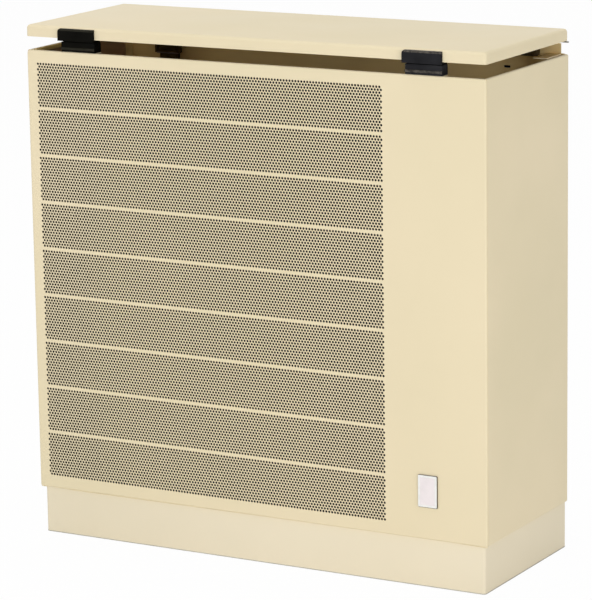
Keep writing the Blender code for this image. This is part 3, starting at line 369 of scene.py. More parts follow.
creamEnamel = stoveEnamel("creamEnamel")
# paler and cooler than the cream: painted light from the floor on the plinth
plinthFloorLitEnamel = stoveEnamel("plinthFloorLitEnamel", tones=((0.785, 0.703, 0.530), (0.825, 0.739, 0.566)))
# paler than the cream sheet: painted highlight on the gussets' lit edges
gussetHighlightEnamel = stoveEnamel("gussetHighlightEnamel", tones=((0.98, 0.85, 0.60), (1.0, 0.89, 0.66)))
# dark brown: painted shade on the gusset tops under the lid
gussetShadeEnamel = stoveEnamel("gussetShadeEnamel", tones=((0.42, 0.27, 0.085), (0.54, 0.36, 0.13)), driftScale=30)
shelfEnamel = stoveEnamel("shelfEnamel", gloss=(0.34, 0.46))
# sheets whose inner faces carry painted brown shade
innerShadeEnamel = tannedSheet("innerShadeEnamel")
backShadeEnamel = tannedSheet("backShadeEnamel", plainFrom=-0.5)
rightShadeEnamel = tannedSheet("rightShadeEnamel", outward=(1, 1, 0), plainFrom=-0.5)
leftShadeEnamel = tannedSheet(
    "leftShadeEnamel",
    outward=(-1, 1, 0),
    plainFrom=-0.5,
    hot=((0.55, 0.35, 0.19), (0.62, 0.40, 0.22)),
    mild=((0.90, 0.66, 0.25), (0.97, 0.73, 0.29)),
    hotAt=-0.3138,
    mildAt=-0.3128,
)


def heatEnamel():
    # matt black, browned where it runs hot
    settings = {
        "tones": ((0.040, 0.027, 0.020), (0.016, 0.016, 0.017)),
        "patchScale": 11,
        "grainScale": 900,
        "grainHeight": 0.00006,
        "gloss": (0.48, 0.66),
    }
    made, tree, shader = startFinish("heatEnamel", settings["gloss"][0])
    patches = grain(tree, settings["patchScale"], detail=5)
    tint(tree, patches, shader, settings["tones"], low=0.38, high=0.56)
    polish(tree, patches, shader, settings["gloss"])
    relief(tree, grain(tree, settings["grainScale"]), shader, settings["grainHeight"])
    return made


mouldingSettings = {
    "driftScale": 60,
    "gloss": (0.40, 0.56),
    "rubScale": 90,
    "grainScale": 1500,
    "grainHeight": 0.00003,
    "specular": 0.05,
}


def mouldedPlastic(name, tones, **changes):
    settings = {**mouldingSettings, **changes}
    made, tree, shader = startFinish(name, settings["gloss"][0])
    tint(tree, grain(tree, settings["driftScale"], detail=3), shader, tones)
    polish(tree, grain(tree, settings["rubScale"], detail=4), shader, settings["gloss"])
    relief(tree, grain(tree, settings["grainScale"], detail=3), shader, settings["grainHeight"])
    shader.inputs["Specular IOR Level"].default_value = settings["specular"]
    return made


blackMoulding = mouldedPlastic(
    "blackMoulding", ((0.011, 0.011, 0.0125), (0.019, 0.019, 0.0215)), driftScale=40, gloss=(0.30, 0.46)
)
# lighter and shinier: painted highlight on the rests' bead and crown
highlightMoulding = mouldedPlastic(
    "highlightMoulding",
    ((0.022, 0.019, 0.016), (0.100, 0.088, 0.074)),
    driftScale=260,
    gloss=(0.30, 0.50),
    rubScale=120,
    specular=0.14,
)
shadedMoulding = mouldedPlastic(
    "shadedMoulding",
    ((0.0035, 0.0034, 0.0026), (0.0060, 0.0056, 0.0042)),
    driftScale=40,
    gloss=(0.36, 0.52),
    specular=0.02,
)
# a dimmer copy: painted highlight on the left rest, which lies in shade
shadedHighlight = mouldedPlastic(
    "shadedHighlight",
    ((0.017, 0.016, 0.010), (0.024, 0.022, 0.016)),
    driftScale=260,
    gloss=(0.36, 0.52),
    rubScale=120,
)
# lighter brown copies of the black moulding: painted light on the hinge blocks and hanger
hingeLitMoulding = mouldedPlastic("hingeLitMoulding", ((0.055, 0.039, 0.019), (0.085, 0.062, 0.031)))
hangerLitMoulding = mouldedPlastic("hangerLitMoulding", ((0.070, 0.042, 0.012), (0.105, 0.064, 0.019)))
# pale: painted highlight on the hanger's lip
hangerHighlight = mouldedPlastic("hangerHighlight", ((0.20, 0.145, 0.120), (0.28, 0.205, 0.175)), driftScale=160)
# grey: painted contact shadow along the plinth's foot
footShadowEdge = mouldedPlastic(
    "footShadowEdge",
    ((0.41, 0.39, 0.325), (0.49, 0.465, 0.39)),
    gloss=(0.60, 0.75),
    grainHeight=0.00005,
    specular=0.2,
)
whiteMoulding = mouldedPlastic(
    "whiteMoulding",
    ((0.80, 0.80, 0.77), (0.86, 0.86, 0.84)),
    driftScale=30,
    gloss=(0.22, 0.34),
    rubScale=120,
    grainScale=1200,
    grainHeight=0.00002,
    specular=0.5,
)
badgeLacquer = mouldedPlastic(
    "badgeLacquer",
    ((0.80, 0.74, 0.745), (0.86, 0.79, 0.80)),
    gloss=(0.14, 0.24),
    rubScale=150,
    grainScale=500,
    grainHeight=0.00002,
    specular=0.5,
)
dialBlack = mouldedPlastic(
    "dialBlack",
    ((0.018, 0.018, 0.019), (0.030, 0.030, 0.031)),
    driftScale=80,
    gloss=(0.30, 0.42),
    rubScale=200,
    grainScale=1800,
    grainHeight=0.00001,
    specular=0.35,
)
figureInk = mouldedPlastic(
    "figureInk",
    ((0.70, 0.70, 0.68), (0.80, 0.80, 0.78)),
    driftScale=200,
    gloss=(0.40, 0.55),
    rubScale=300,
    grainScale=2000,
    grainHeight=0.00001,
    specular=0.5,
)
glazedCeramic = mouldedPlastic(
    "glazedCeramic",
    ((0.78, 0.76, 0.70), (0.88, 0.87, 0.83)),
    driftScale=120,
    gloss=(0.12, 0.28),
    rubScale=200,
    grainScale=700,
    specular=0.5,
)


def zincPlating():
    # faint crystal spangle under a soft shine
    settings = {
        "tones": ((0.42, 0.44, 0.46), (0.60, 0.61, 0.62)),
        "spangleScale": 75,
        "gloss": (0.28, 0.46),
        "scratchScale": 60,
        "scratchStretch": (1, 1, 14),
        "scratchHeight": 0.00002,
    }
    made, tree, shader = startFinish("zincPlating", settings["gloss"][0], metallic=1.0)
    feeds = {"Vector": addNode(tree, "TexCoord").outputs["Object"], "Scale": settings["spangleScale"]}
    spangle = addNode(tree, "TexVoronoi", feeds).outputs["Color"]
    tint(tree, spangle, shader, settings["tones"], low=0.1, high=0.9)
    polish(tree, spangle, shader, settings["gloss"])
    scratches = grain(tree, settings["scratchScale"], detail=6, stretch=settings["scratchStretch"])
    relief(tree, scratches, shader, settings["scratchHeight"])
    return made


def drawnMetal(name, tones, gloss, stainScale, lineScale, lineStretch, lineHeight):
    made, tree, shader = startFinish(name, gloss[0], metallic=1.0)
    tint(tree, grain(tree, stainScale, detail=5), shader, tones)
    lines = grain(tree, lineScale, detail=3, stretch=lineStretch)
    polish(tree, lines, shader, gloss)
    relief(tree, lines, shader, lineHeight)
    return made


brushedSteel = drawnMetal(
    "brushedSteel",
    ((0.50, 0.49, 0.48), (0.66, 0.66, 0.66)),
    gloss=(0.20, 0.36),
    stainScale=24,
    lineScale=60,
    lineStretch=(1, 14, 14),
    lineHeight=0.00003,
)
# dark: painted shade round the badge's edges
badgeShadowSteel = drawnMetal(
    "badgeShadowSteel",
    ((0.10, 0.09, 0.08), (0.20, 0.18, 0.16)),
    gloss=(0.30, 0.50),
    stainScale=90,
    lineScale=300,
    lineStretch=(1, 1, 4),
    lineHeight=0.00001,
)
castAlloy = drawnMetal(
    "castAlloy",
    ((0.40, 0.41, 0.42), (0.55, 0.56, 0.57)),
    gloss=(0.42, 0.60),
    stainScale=50,
    lineScale=700,
    lineStretch=(1, 1, 1),
    lineHeight=0.00012,
)
turnedBrass = drawnMetal(
    "turnedBrass",
    ((0.52, 0.36, 0.14), (0.72, 0.54, 0.26)),
    gloss=(0.22, 0.40),
    stainScale=45,
    lineScale=120,
    lineStretch=(1, 1, 12),
    lineHeight=0.00002,
)
drawnCopper = drawnMetal(
    "drawnCopper",
    ((0.42, 0.19, 0.11), (0.74, 0.40, 0.27)),
    gloss=(0.24, 0.42),
    stainScale=34,
    lineScale=200,
    lineStretch=(1, 1, 0.2),
    lineHeight=0.00002,
)


def wovenCloth(name, tones, threads, scale, height, roughness, specular):
    # two sets of threads that cross, each with its direction and turn
    made, tree, shader = startFinish(name, roughness)
    coords = addNode(tree, "TexCoord")
    sets = []
    for direction, turn in threads:
        mapping = addNode(tree, "Mapping", {"Vector": coords.outputs["Object"], "Rotation": turn})
        feeds = {"Vector": mapping.outputs["Vector"], "Scale": scale}
        sets.append(addNode(tree, "TexWave", feeds, bands_direction=direction).outputs["Fac"])
    over = greater(tree, *sets)
    tint(tree, over, shader, tones, low=0.2, high=0.9)
    relief(tree, over, shader, height)
    shader.inputs["Specular IOR Level"].default_value = specular
    return made


leadSleeve = wovenCloth(
    "wovenSleeve",
    ((0.012, 0.012, 0.013), (0.055, 0.053, 0.050)),
    threads=(("X", (-0.9, -0.9, 0)), ("X", (0.9, 0.9, 0))),
    scale=260,
    height=0.00012,
    roughness=0.72,
    specular=0.5,
)
# near black: painted shade seen through the front holes
shadeGauze = wovenCloth(
    "shadeGauze",
    ((0.004, 0.004, 0.004), (0.016, 0.015, 0.014)),
    threads=(("X", (0, 0, 0)), ("Z", (0, 0, 0))),
    scale=320,
    height=0.0001,
    roughness=0.8,
    specular=0.1,
)


def windowGlass():
    settings = {
        "tones": ((0.86, 0.84, 0.78), (0.95, 0.95, 0.93)),
        "hazeScale": 30,
        "gloss": (0.02, 0.14),
        "bending": 1.46,
    }
    made, tree, shader = startFinish("windowGlass", settings["gloss"][0])
    haze = grain(tree, settings["hazeScale"], detail=4)
    tint(tree, haze, shader, settings["tones"])
    polish(tree, haze, shader, settings["gloss"])
    shader.inputs["Transmission Weight"].default_value = 1.0
    shader.inputs["IOR"].default_value = settings["bending"]
    return made


heatBlack = heatEnamel()
zincPlate = zincPlating()
clearGlass = windowGlass()
print("finishes mixed")

nodeFinishes = (
    (creamEnamel, "front_panel side_panel_left side_panel_right lid"),
    (plinthFloorLitEnamel, "plinth"),
    (backShadeEnamel, "back_plate"),
    (innerShadeEnamel, "corner_gusset_left corner_gusset_right lid_liner"),
    (shelfEnamel, "control_shelf"),
    (heatBlack, "combustion_chamber heat_exchanger window_frame"),
    (clearGlass, "window_glass"),
    (brushedSteel, "burner_tube thermocouple flue_spigot"),
    (turnedBrass, "injector_holder pilot_burner valve_bonnet gas_cock_body inlet_pipe"),
    (drawnCopper, "manifold_pipe riser_pipe sensor_bulb capillary_tube"),
    (castAlloy, "gas_valve_body"),
    (glazedCeramic, "spark_electrode"),
    (leadSleeve, "ignition_lead thermocouple_lead"),
    (whiteMoulding, "piezo_button"),
    (badgeLacquer, "badge_plate"),
    (blackMoulding, "piezo_body lid_rest_left lid_rest_right hinge_block_left hinge_block_right"),
    (blackMoulding, "hanger_block thermostat_knob"),
    (zincPlate, "hinge_rod partition_plate exchanger_bracket_upper exchanger_bracket_lower"),
    (zincPlate, "burner_cradle_left burner_cradle_right pilot_bracket valve_bracket cock_bracket"),
    (zincPlate, "bulb_clip air_spigot lid_hinge_leaf_left lid_hinge_leaf_right valve_spindle"),
    (zincPlate, "cock_lever casing_screw_1 casing_screw_2 casing_screw_3 casing_screw_4"),
    (zincPlate, "wall_rail_upper wall_rail_lower"),
)
dressed = 0
for finish, names in nodeFinishes:
    for name in names.split():
        for slot in bpy.data.objects[name].material_slots:
            slot.material = finish
        dressed += 1
print("CAD nodes dressed:", dressed)


# Front panel: one folded sheet with nine punched bands

punching = {
    "sheet": 0.001,
    "bandSheet": 0.0005,
    "corner": {"left": 0.0042, "right": 0.0027},
    "bend": 0.002,
    "bendSteps": 5,
    "topHem": 0.003,
    "kept": 0.3105,  # the folds are cut off beyond this, to either side
    "tabs": ((-0.2646, -0.2166), (0.2102, 0.2582)),  # wider folds, under the lid rests
    "holeRadius": 0.00162,
    "holeSides": 8,
    "pitch": 0.004,
    "rowPitch": 0.003464,
    "holesInRow": 120,
    "rowPairs": 8,
    "bands": 9,
    "rowsPerBandStep": 17,
    "left": -0.3014,
    "top": 0.6022,
}


def hung(form, across, up):
    # turns a flat form to face the viewer and puts it in place
    return shifted(turned(form, quarter, "X"), (across, 0, up))


def holeCell(across, up):
    # one hole in its own brick of sheet
    form = bmesh.new()
    bmesh.ops.create_grid(form, x_segments=2, y_segments=2, size=1)
    middle = [vert for vert in form.verts if vert.co.length < weld]
    bmesh.ops.delete(form, geom=middle, context="VERTS")
    bmesh.ops.scale(form, vec=(punching["pitch"] / 2, punching["rowPitch"] / 2, 1), verts=form.verts)
    bmesh.ops.create_circle(form, segments=punching["holeSides"], radius=punching["holeRadius"])
    bmesh.ops.bridge_loops(form, edges=form.edges[:])
    return hung(form, across, up)


def fillerCell(across, up):
    # the plain half brick that ends a row
    form = bmesh.new()
    bmesh.ops.create_grid(form, x_segments=1, y_segments=2, size=1)
    bmesh.ops.scale(form, vec=(punching["pitch"] / 4, punching["rowPitch"] / 2, 1), verts=form.verts)
    return hung(form, across, up)


def bandForm():
    pitch, row = punching["pitch"], punching["rowPitch"]
    wide = punching["holesInRow"] * pitch
    copies = punching["holesInRow"] - 1
    upper = repeated(holeCell(pitch / 2, -row / 2), (pitch, 0, 0), copies)
    lower = repeated(holeCell(pitch, -row * 3 / 2), (pitch, 0, 0), copies)
    ends = [fillerCell(wide + pitch / 4, -row / 2), fillerCell(pitch / 4, -row * 3 / 2)]
    form = repeated(joined([upper, lower, *ends]), (0, 0, -2 * row), punching["rowPairs"] - 1)
    bmesh.ops.remove_doubles(form, verts=form.verts, dist=weld)
    form.normal_update()
    bmesh.ops.reverse_faces(form, faces=[face for face in form.faces if face.normal.y > 0])
    return form


bandStep = punching["rowsPerBandStep"] * punching["rowPitch"]
bandTall = 2 * punching["rowPairs"] * punching["rowPitch"]
bandLeft = punching["left"]
bandRight = bandLeft + (punching["holesInRow"] + 0.5) * punching["pitch"]
bandTops = [punching["top"] - number * bandStep for number in range(punching["bands"])]
panelLow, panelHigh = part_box("front_panel")
pattern = bandForm()
for number, top in enumerate(bandTops, 1):
    form = shifted(pattern.copy(), (bandLeft, panelLow.y, top))
    name = f"frontBand{number}"
    addPiece(name, form, creamEnamel, "cream_enamel", "front_panel", wall=punching["bandSheet"])
pattern.free()


def panelForm():
    form = boxForm(panelLow, panelHigh)
    for edge in running(form, (0, 1, 0)):
        if edge.verts[0].co.z > panelHigh.z - near:
            hand = "left" if edge.verts[0].co.x < 0 else "right"
            roundOff(form, [edge], punching["corner"][hand], punching["bendSteps"])
    takeOff(form, facing(form, (0, 1, 0)))
    lower = [edge for edge in running(form, (0, 1, 0)) if edge.verts[0].co.z < panelLow.z + near]
    folded = list(facing(form, towardsViewer)[0].edges) + lower
    roundOff(form, folded, punching["bend"], punching["bendSteps"])
    cuts = [bandLeft, bandRight, -punching["kept"], punching["kept"]]
    for tab in punching["tabs"]:
        cuts += tab
    for across in cuts:
        cutAlong(form, (across, 0, 0), (1, 0, 0))
    hemBack = panelLow.y + punching["bend"]
    topBack = panelLow.y + punching["topHem"]
    for depth in (hemBack, topBack):
        cutAlong(form, (0, depth, 0), (0, 1, 0))
    trimmed = []
    for face in form.faces:
        middle = face.calc_center_median()
        tabbed = [tab for tab in punching["tabs"] if tab[0] < middle.x < tab[1]]
        flank = middle.y > hemBack and abs(middle.x) > punching["kept"]
        shelf = middle.y > topBack and face.normal.z > alike and not tabbed
        if flank or shelf:
            trimmed.append(face)
    takeOff(form, trimmed)
    for top in bandTops:
        cutAlong(form, (0, 0, top), (0, 0, 1))
        cutAlong(form, (0, 0, top - bandTall), (0, 0, 1))
    punched = []
    for face in facing(form, towardsViewer, parallel):
        middle = face.calc_center_median()
        within = [top for top in bandTops if top - bandTall < middle.z < top]
        if within and bandLeft < middle.x < bandRight:
            punched.append(face)
    takeOff(form, punched)
    return form


addPiece(
    "frontPanelSheet", panelForm(), creamEnamel, "cream_enamel", "front_panel", wall=punching["sheet"]
)

# A dark gauze lining clipped behind the bands hides the works: painted shade that keeps the holes black
shadeLining = {"margin": 0.0022, "thick": 0.0004, "hem": 0.006, "hemSlope": 0.0002, "hemRise": 0.00015}
low = Vector((
    bandLeft - shadeLining["margin"],
    panelLow.y + punching["bandSheet"],
    bandTops[-1] - bandTall - shadeLining["margin"],
))
high = Vector((bandRight + shadeLining["margin"], low.y + shadeLining["thick"], bandTops[0] + shadeLining["margin"]))
form = boxForm(low, high)
rear = facing(form, (0, 1, 0))
inset(form, rear, shadeLining["hem"])
inset(form, rear, shadeLining["hemSlope"], -shadeLining["hemRise"])
addPiece("frontShadeLining", form, shadeGauze, "dark_enamel")
print("front panel punched, folded and lined")


# Side panels, each with its top edge curled in

sides = {
    "sheet": 0.001,
    "bend": 0.0025,
    "topReturn": 0.003,
    "bendSteps": 6,
    "notch": -0.1012,  # ahead of this the front panel's returns take the corners
}


def sideForm():
    low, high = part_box("side_panel_right")
    form = boxForm(low, high)
    takeOff(form, facing(form, (-1, 0, 0)) + facing(form, towardsViewer))
    folded = [edge for edge in form.edges if not edge.is_boundary]
    roundOff(form, folded, sides["bend"], sides["bendSteps"])
    curlStart = high.x - sides["bend"]
    rearFold = high.y - sides["bend"]
    for depth in (sides["notch"], rearFold):
        cutAlong(form, (0, depth, 0), (0, 1, 0))
    flaps = []
    for face in form.faces:
        middle = face.calc_center_median()
        ahead = middle.y < sides["notch"] and abs(face.normal.z) > parallel
        above = face.normal.z > parallel and middle.x < curlStart
        if ahead or above:
            flaps.append(face)
    takeOff(form, flaps)
    curl = []
    for edge in running(form, (0, 1, 0)):
        ends = [vert.co for vert in edge.verts]
        atTop = min(end.z for end in ends) > high.z - weld
        if atTop and edge.is_boundary and max(end.y for end in ends) < rearFold + weld:
            curl.append(edge)
    hem = bmesh.ops.spin(
        form,
        geom=curl,
        cent=(curlStart, 0, high.z - sides["bend"]),
        axis=(0, 1, 0),
        angle=-quarter,
        steps=sides["bendSteps"],
    )["geom_last"]
    lastEdges = [item for item in hem if isinstance(item, bmesh.types.BMEdge)]
    grown = bmesh.ops.extrude_edge_only(form, edges=lastEdges)["geom"]
    moved = [item for item in grown if isinstance(item, bmesh.types.BMVert)]
    bmesh.ops.translate(form, vec=(0, 0, -sides["topReturn"]), verts=moved)
    bmesh.ops.remove_doubles(form, verts=form.verts, dist=weld)
    bmesh.ops.recalc_face_normals(form, faces=form.faces)
    return form


wall = sides["sheet"]
addPiece("sidePanelRight", sideForm(), rightShadeEnamel, "cream_enamel", "side_panel_right", wall=wall)
addPiece("sidePanelLeft", mirrored(sideForm()), leftShadeEnamel, "cream_enamel", "side_panel_left", wall=wall)
print("side panels folded")


# Plinth, with a thin grey strip round its foot that paints the contact shadow on the floor

skirt = {
    "sheet": 0.0012,
    "flange": 0.018,
    "corner": 0.0040,
    "cornerSteps": 6,
    "foot": 0.0012,
    "footSteps": 3,
    "foldAngle": 1,  # edges with more turn than this, in radians, are folds
}
low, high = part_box("plinth")
form = boxForm(low, high)
ends = facing(form, (0, 0, 1)) + facing(form, (0, 0, -1))
inset(form, ends, skirt["flange"])
takeOff(form, ends)
roundOff(form, running(form, (0, 0, 1)), skirt["corner"], skirt["cornerSteps"])
foot = []
for edge in form.edges:
    atFloor = max(vert.co.z for vert in edge.verts) < weld
    if atFloor and edge.calc_face_angle(0) > skirt["foldAngle"]:
        foot.append(edge)
roundOff(form, foot, skirt["foot"], skirt["footSteps"])
addPiece("plinthSkirt", form, plinthFloorLitEnamel, "plinth_enamel", "plinth", wall=skirt["sheet"])

# a thin grey strip standing a little proud: painted shadow where the plinth meets the floor
footShadowStrip = {"tall": 0.0012, "proud": 0.0002, "wide": 0.006, "soft": 0.0002}
form = boxForm(
    (low.x - footShadowStrip["proud"], low.y, low.z), (high.x + footShadowStrip["proud"], high.y, footShadowStrip["tall"])
)
roundOff(form, running(form, (0, 0, 1)), skirt["corner"], skirt["cornerSteps"])
ends = facing(form, (0, 0, 1)) + facing(form, (0, 0, -1))
inset(form, ends, footShadowStrip["wide"])
loops = [edge for face in ends for edge in face.edges]
bmesh.ops.delete(form, geom=ends, context="FACES_ONLY")
bmesh.ops.bridge_loops(form, edges=loops)
bmesh.ops.recalc_face_normals(form, faces=form.faces)
addPiece("plinthFootShadow", form, footShadowEdge, "black_plastic", soft=footShadowStrip["soft"])
print("plinth made")


# Lid

pan = {"sheet": 0.001, "corner": 0.0048, "cornerSteps": 8, "edge": 0.0045, "edgeSteps": 6}
form = boxForm(*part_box("lid"))
roundOff(form, running(form, (0, 0, 1)), pan["corner"], pan["cornerSteps"])
takeOff(form, facing(form, (0, 0, -1)))
roundOff(form, list(facing(form, (0, 0, 1))[0].edges), pan["edge"], pan["edgeSteps"])
addPiece("lidPan", form, creamEnamel, "cream_enamel", "lid", body="lid", wall=pan["sheet"])
print("lid made")


# Lid rests: a lip in front of the lid, over a block with a bead along its foot; bead and crown carry a
# painted highlight, the left rest and the necks painted shade

rest = {
    "width": 0.048,
    "lipHeight": 0.0152,
    "lipThick": 0.0037,
    "lipCorner": {"left": 0.0044, "right": 0.0005},
    "skin": 0.0001,  # how far the crown, with its painted highlight, stands out from the lip
    "crownHeight": 0.0027,
    "crownRound": 0.0021,
    "crownTrim": 0.00308,
    "roundSteps": 4,
    "bodyBack": 0.0023,
    "web": {"lap": 0.0015, "lift": 0.0004, "deep": 0.004, "top": 0.0162},
    "groove": {"tall": 0.0019, "deep": 0.003},
    "neck": {"trim": 0.0008, "lap": 0.001, "back": 0.0004, "top": 0.0156},
    "bead": {"lift": 0.0022, "tall": 0.0034, "proud": 0.0012, "lap": 0.0006, "round": 0.0011},
    "soft": {"body": 0.0004, "neck": 0.0003, "highlighted": 0.0002},
    # the left rest gets darker copies of the mouldings: painted shade
    "finish": {"left": (shadedMoulding, shadedHighlight), "right": (blackMoulding, highlightMoulding)},
}


def restForms(node):
    # the lip with its block, the neck set back in the groove between them, and the bead and crown that
    # take the painted highlight
    low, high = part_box(node)
    web, groove, neck, bead = rest["web"], rest["groove"], rest["neck"], rest["bead"]
    middle = (low.x + high.x) / 2
    left, right = middle - rest["width"] / 2, middle + rest["width"] / 2
    lipBack = low.y + rest["lipThick"]
    lipLow = high.z - rest["lipHeight"]
    bodyFront = lipBack + rest["bodyBack"]
    bodyTop = lipLow - groove["tall"]
    skin = rest["skin"]
    lipForm = boxForm((low.x, low.y + skin, lipLow), (high.x, lipBack - skin, high.z - skin))
    for edge in running(lipForm, (0, 1, 0)):
        if edge.verts[0].co.z > lipLow + near:
            hand = "left" if edge.verts[0].co.x < middle else "right"
            roundOff(lipForm, [edge], rest["lipCorner"][hand], rest["roundSteps"])
    outline = facing(lipForm, towardsViewer)[0].edges
    crest = [edge for edge in outline if min(vert.co.z for vert in edge.verts) > high.z - near]
    roundOff(lipForm, crest, rest["crownRound"], rest["roundSteps"])
    webForm = boxForm(
        (left, lipBack - web["lap"], lipLow + web["lift"]),
        (right, bodyFront + web["deep"], low.z + web["top"]),
    )
    blockForm = boxForm((left, bodyFront, low.z), (right, high.y, bodyTop))
    neckForm = boxForm(
        (left + neck["trim"], bodyFront + groove["deep"], bodyTop - neck["lap"]),
        (right - neck["trim"], high.y - neck["back"], low.z + neck["top"]),
    )
    beadForm = boxForm(
        (left, bodyFront - bead["proud"], low.z + bead["lift"]),
        (right, bodyFront + bead["lap"], low.z + bead["lift"] + bead["tall"]),
    )
    crest = [edge for edge in running(beadForm, (1, 0, 0)) if edge.verts[0].co.y < bodyFront]
    roundOff(beadForm, crest, bead["round"], rest["roundSteps"])
    crownForm = boxForm(
        (low.x + rest["crownTrim"], low.y, high.z - rest["crownHeight"]), (high.x, lipBack, high.z)
    )
    crest = []
    for edge in running(crownForm, (1, 0, 0)):
        end = edge.verts[0].co
        if end.z > high.z - weld and end.y < low.y + weld:
            crest.append(edge)
    roundOff(crownForm, crest, rest["crownRound"], rest["roundSteps"])
    return joined([lipForm, webForm, blockForm]), neckForm, joined([beadForm, crownForm])


for side in ("left", "right"):
    node = f"lid_rest_{side}"
    hand = side.capitalize()
    plain, highlighted = rest["finish"][side]
    body, neck, highlightForms = restForms(node)
    addPiece(f"lidRest{hand}", body, plain, "black_plastic", node, soft=rest["soft"]["body"])
    # the neck's dark finish is painted shade in the groove under the lip
    addPiece(f"lidRestNeck{hand}", neck, shadedMoulding, "black_plastic", node, soft=rest["soft"]["neck"])
    addPiece(f"lidRestBead{hand}", highlightForms, highlighted, "black_plastic", node, soft=rest["soft"]["highlighted"])
print("lid rests moulded")


# Badge: a bare lacquered panel in a white frame, on a dark backing that shows at its right, top and bottom
# edges as painted shade

badge = {
    "backing": {"corner": 0.0014, "back": 0.0003, "soft": 0.0002},
    "shown": {"left": 0.0, "right": 0.0007, "low": 0.0006, "top": 0.0007},
    "frame": {"wide": 0.0022, "corner": 0.00112, "lift": 0.0006, "recess": 0.0003, "slope": 0.0003},
    "frameSoft": 0.0001,
    "face": {"sink": 0.00024, "lift": 0.0002, "corner": 0.0007, "edge": 0.0004, "crown": 0.00008},
    "cornerSteps": 5,
    "crease": 50,
}


def badgeBlank(low, high, corner):
    form = boxForm(low, high)
    roundOff(form, running(form, (0, 1, 0)), corner, badge["cornerSteps"])
    return form


low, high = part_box("badge_plate")
backing, shown, ring, plate = badge["backing"], badge["shown"], badge["frame"], badge["face"]
form = badgeBlank(low + Vector((0, backing["back"], 0)), high, backing["corner"])
addPiece("badgeBacking", form, badgeShadowSteel, "bright_steel", "badge_plate", soft=backing["soft"])
low = low + Vector((shown["left"], 0, shown["low"]))
high = high - Vector((shown["right"], ring["lift"], shown["top"]))
form = boxForm(low, high)
corners = running(form, (0, 1, 0))
face = facing(form, towardsViewer)
inset(form, face, ring["wide"])
inset(form, face, ring["slope"], -ring["recess"])
takeOff(form, face)
roundOff(form, corners, ring["corner"], badge["cornerSteps"])
addPiece(
    "badgeFrame",
    form,
    whiteMoulding,
    "white_plastic",
    "badge_plate",
    soft=badge["frameSoft"],
    crease=badge["crease"],
)
low = low + Vector((ring["wide"], plate["sink"], ring["wide"]))
high = high - Vector((ring["wide"], plate["lift"], ring["wide"]))
form = badgeBlank(low, high, plate["corner"])
inset(form, facing(form, towardsViewer), plate["edge"], plate["crown"])
addPiece("badgeFace", form, badgeLacquer, "white_plastic", "badge_plate")
print("badge made")


# Hinge blocks round the rod, in a brown copy of the black moulding that paints light on them

hinge = {
    "endTrim": 0.0038,
    "back": 0.0077,
    "crown": 0.001,
    "crownSteps": 4,
    "foot": {"tall": 0.004, "proud": 0.0006, "trim": 0.001, "lift": 0.0004},
    "tail": {"tall": 0.0115, "trim": 0.0006},
    "lap": 0.001,
    "soft": 0.0005,
}


def hingeForm(node):
    # the block, stepped at its foot, and the tail that hangs it on the back plate
    low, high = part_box(node)
    foot, tail, lap = hinge["foot"], hinge["tail"], hinge["lap"]
    behind = low.y + hinge["back"]
    left, right = low.x, high.x
    if low.x > 0:
        right -= hinge["endTrim"]
    else:
        left += hinge["endTrim"]
    block = boxForm((left, low.y + foot["proud"], low.z), (right, behind, high.z))
    upper = [edge for edge in running(block, (1, 0, 0)) if edge.verts[0].co.z > high.z - near]
    roundOff(block, upper, hinge["crown"], hinge["crownSteps"])
    footForm = boxForm(
        (left + foot["trim"], low.y, low.z + foot["lift"]),
        (right - foot["trim"], behind - lap, low.z + foot["tall"]),
    )
    tailForm = boxForm(
        (left + tail["trim"], behind - lap, low.z), (right - tail["trim"], high.y, low.z + tail["tall"])
    )
    return joined([block, footForm, tailForm])


for side in ("left", "right"):
    node = f"hinge_block_{side}"
    name = f"hingeBlock{side.capitalize()}"
    addPiece(name, hingeForm(node), hingeLitMoulding, "black_plastic", node, soft=hinge["soft"])


# Hanger: a hollow head over a ribbed shank, with a lip between them; the brown moulding is painted light,
# the pale lip a painted highlight

hanger = {
    "shoulder": 0.0236,
    "head": {"back": 0.0004, "wall": 0.003, "slope": 0.0004, "deep": 0.0045},
    "shank": {"left": 0.0064, "right": 0.0030, "back": 0.0022, "lap": 0.001},
    "ribs": {"count": 2, "tall": 0.0024, "trim": 0.001, "front": 0.0012, "back": 0.003},
    "lip": {"tall": 0.0017, "left": 0.0030, "right": 0.0004, "deep": 0.004, "soft": 0.0003},
    "soft": 0.0006,
}
low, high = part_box("hanger_block")
head, shank, ribs, lip = hanger["head"], hanger["shank"], hanger["ribs"], hanger["lip"]
shoulder = low.z + hanger["shoulder"]
form = boxForm((low.x, low.y + head["back"], shoulder), high)
face = facing(form, towardsViewer)
inset(form, face, head["wall"])
inset(form, face, head["slope"], -head["deep"])
left = low.x + shank["left"]
right = high.x - shank["right"]
parts = [form, boxForm((left, low.y + shank["back"], low.z), (right, high.y, shoulder + shank["lap"]))]
for number in range(1, ribs["count"] + 1):
    height = low.z + number * hanger["shoulder"] / (ribs["count"] + 1)
    parts.append(boxForm(
        (left + ribs["trim"], low.y + ribs["front"], height),
        (right - ribs["trim"], high.y - ribs["back"], height + ribs["tall"]),
    ))
form = joined(parts)
addPiece("hangerPocket", form, hangerLitMoulding, "black_plastic", "hanger_block", soft=hanger["soft"])
form = boxForm(
    (low.x + lip["left"], low.y, shoulder - lip["tall"] / 2),
    (high.x - lip["right"], low.y + lip["deep"], shoulder + lip["tall"] / 2),
)
addPiece("hangerLip", form, hangerHighlight, "black_plastic", "hanger_block", soft=lip["soft"])
print("hinge blocks and hanger moulded")


# Corner gussets: a plate on the back plate whose top is painted shade, its free edges turned down and
# given a painted highlight

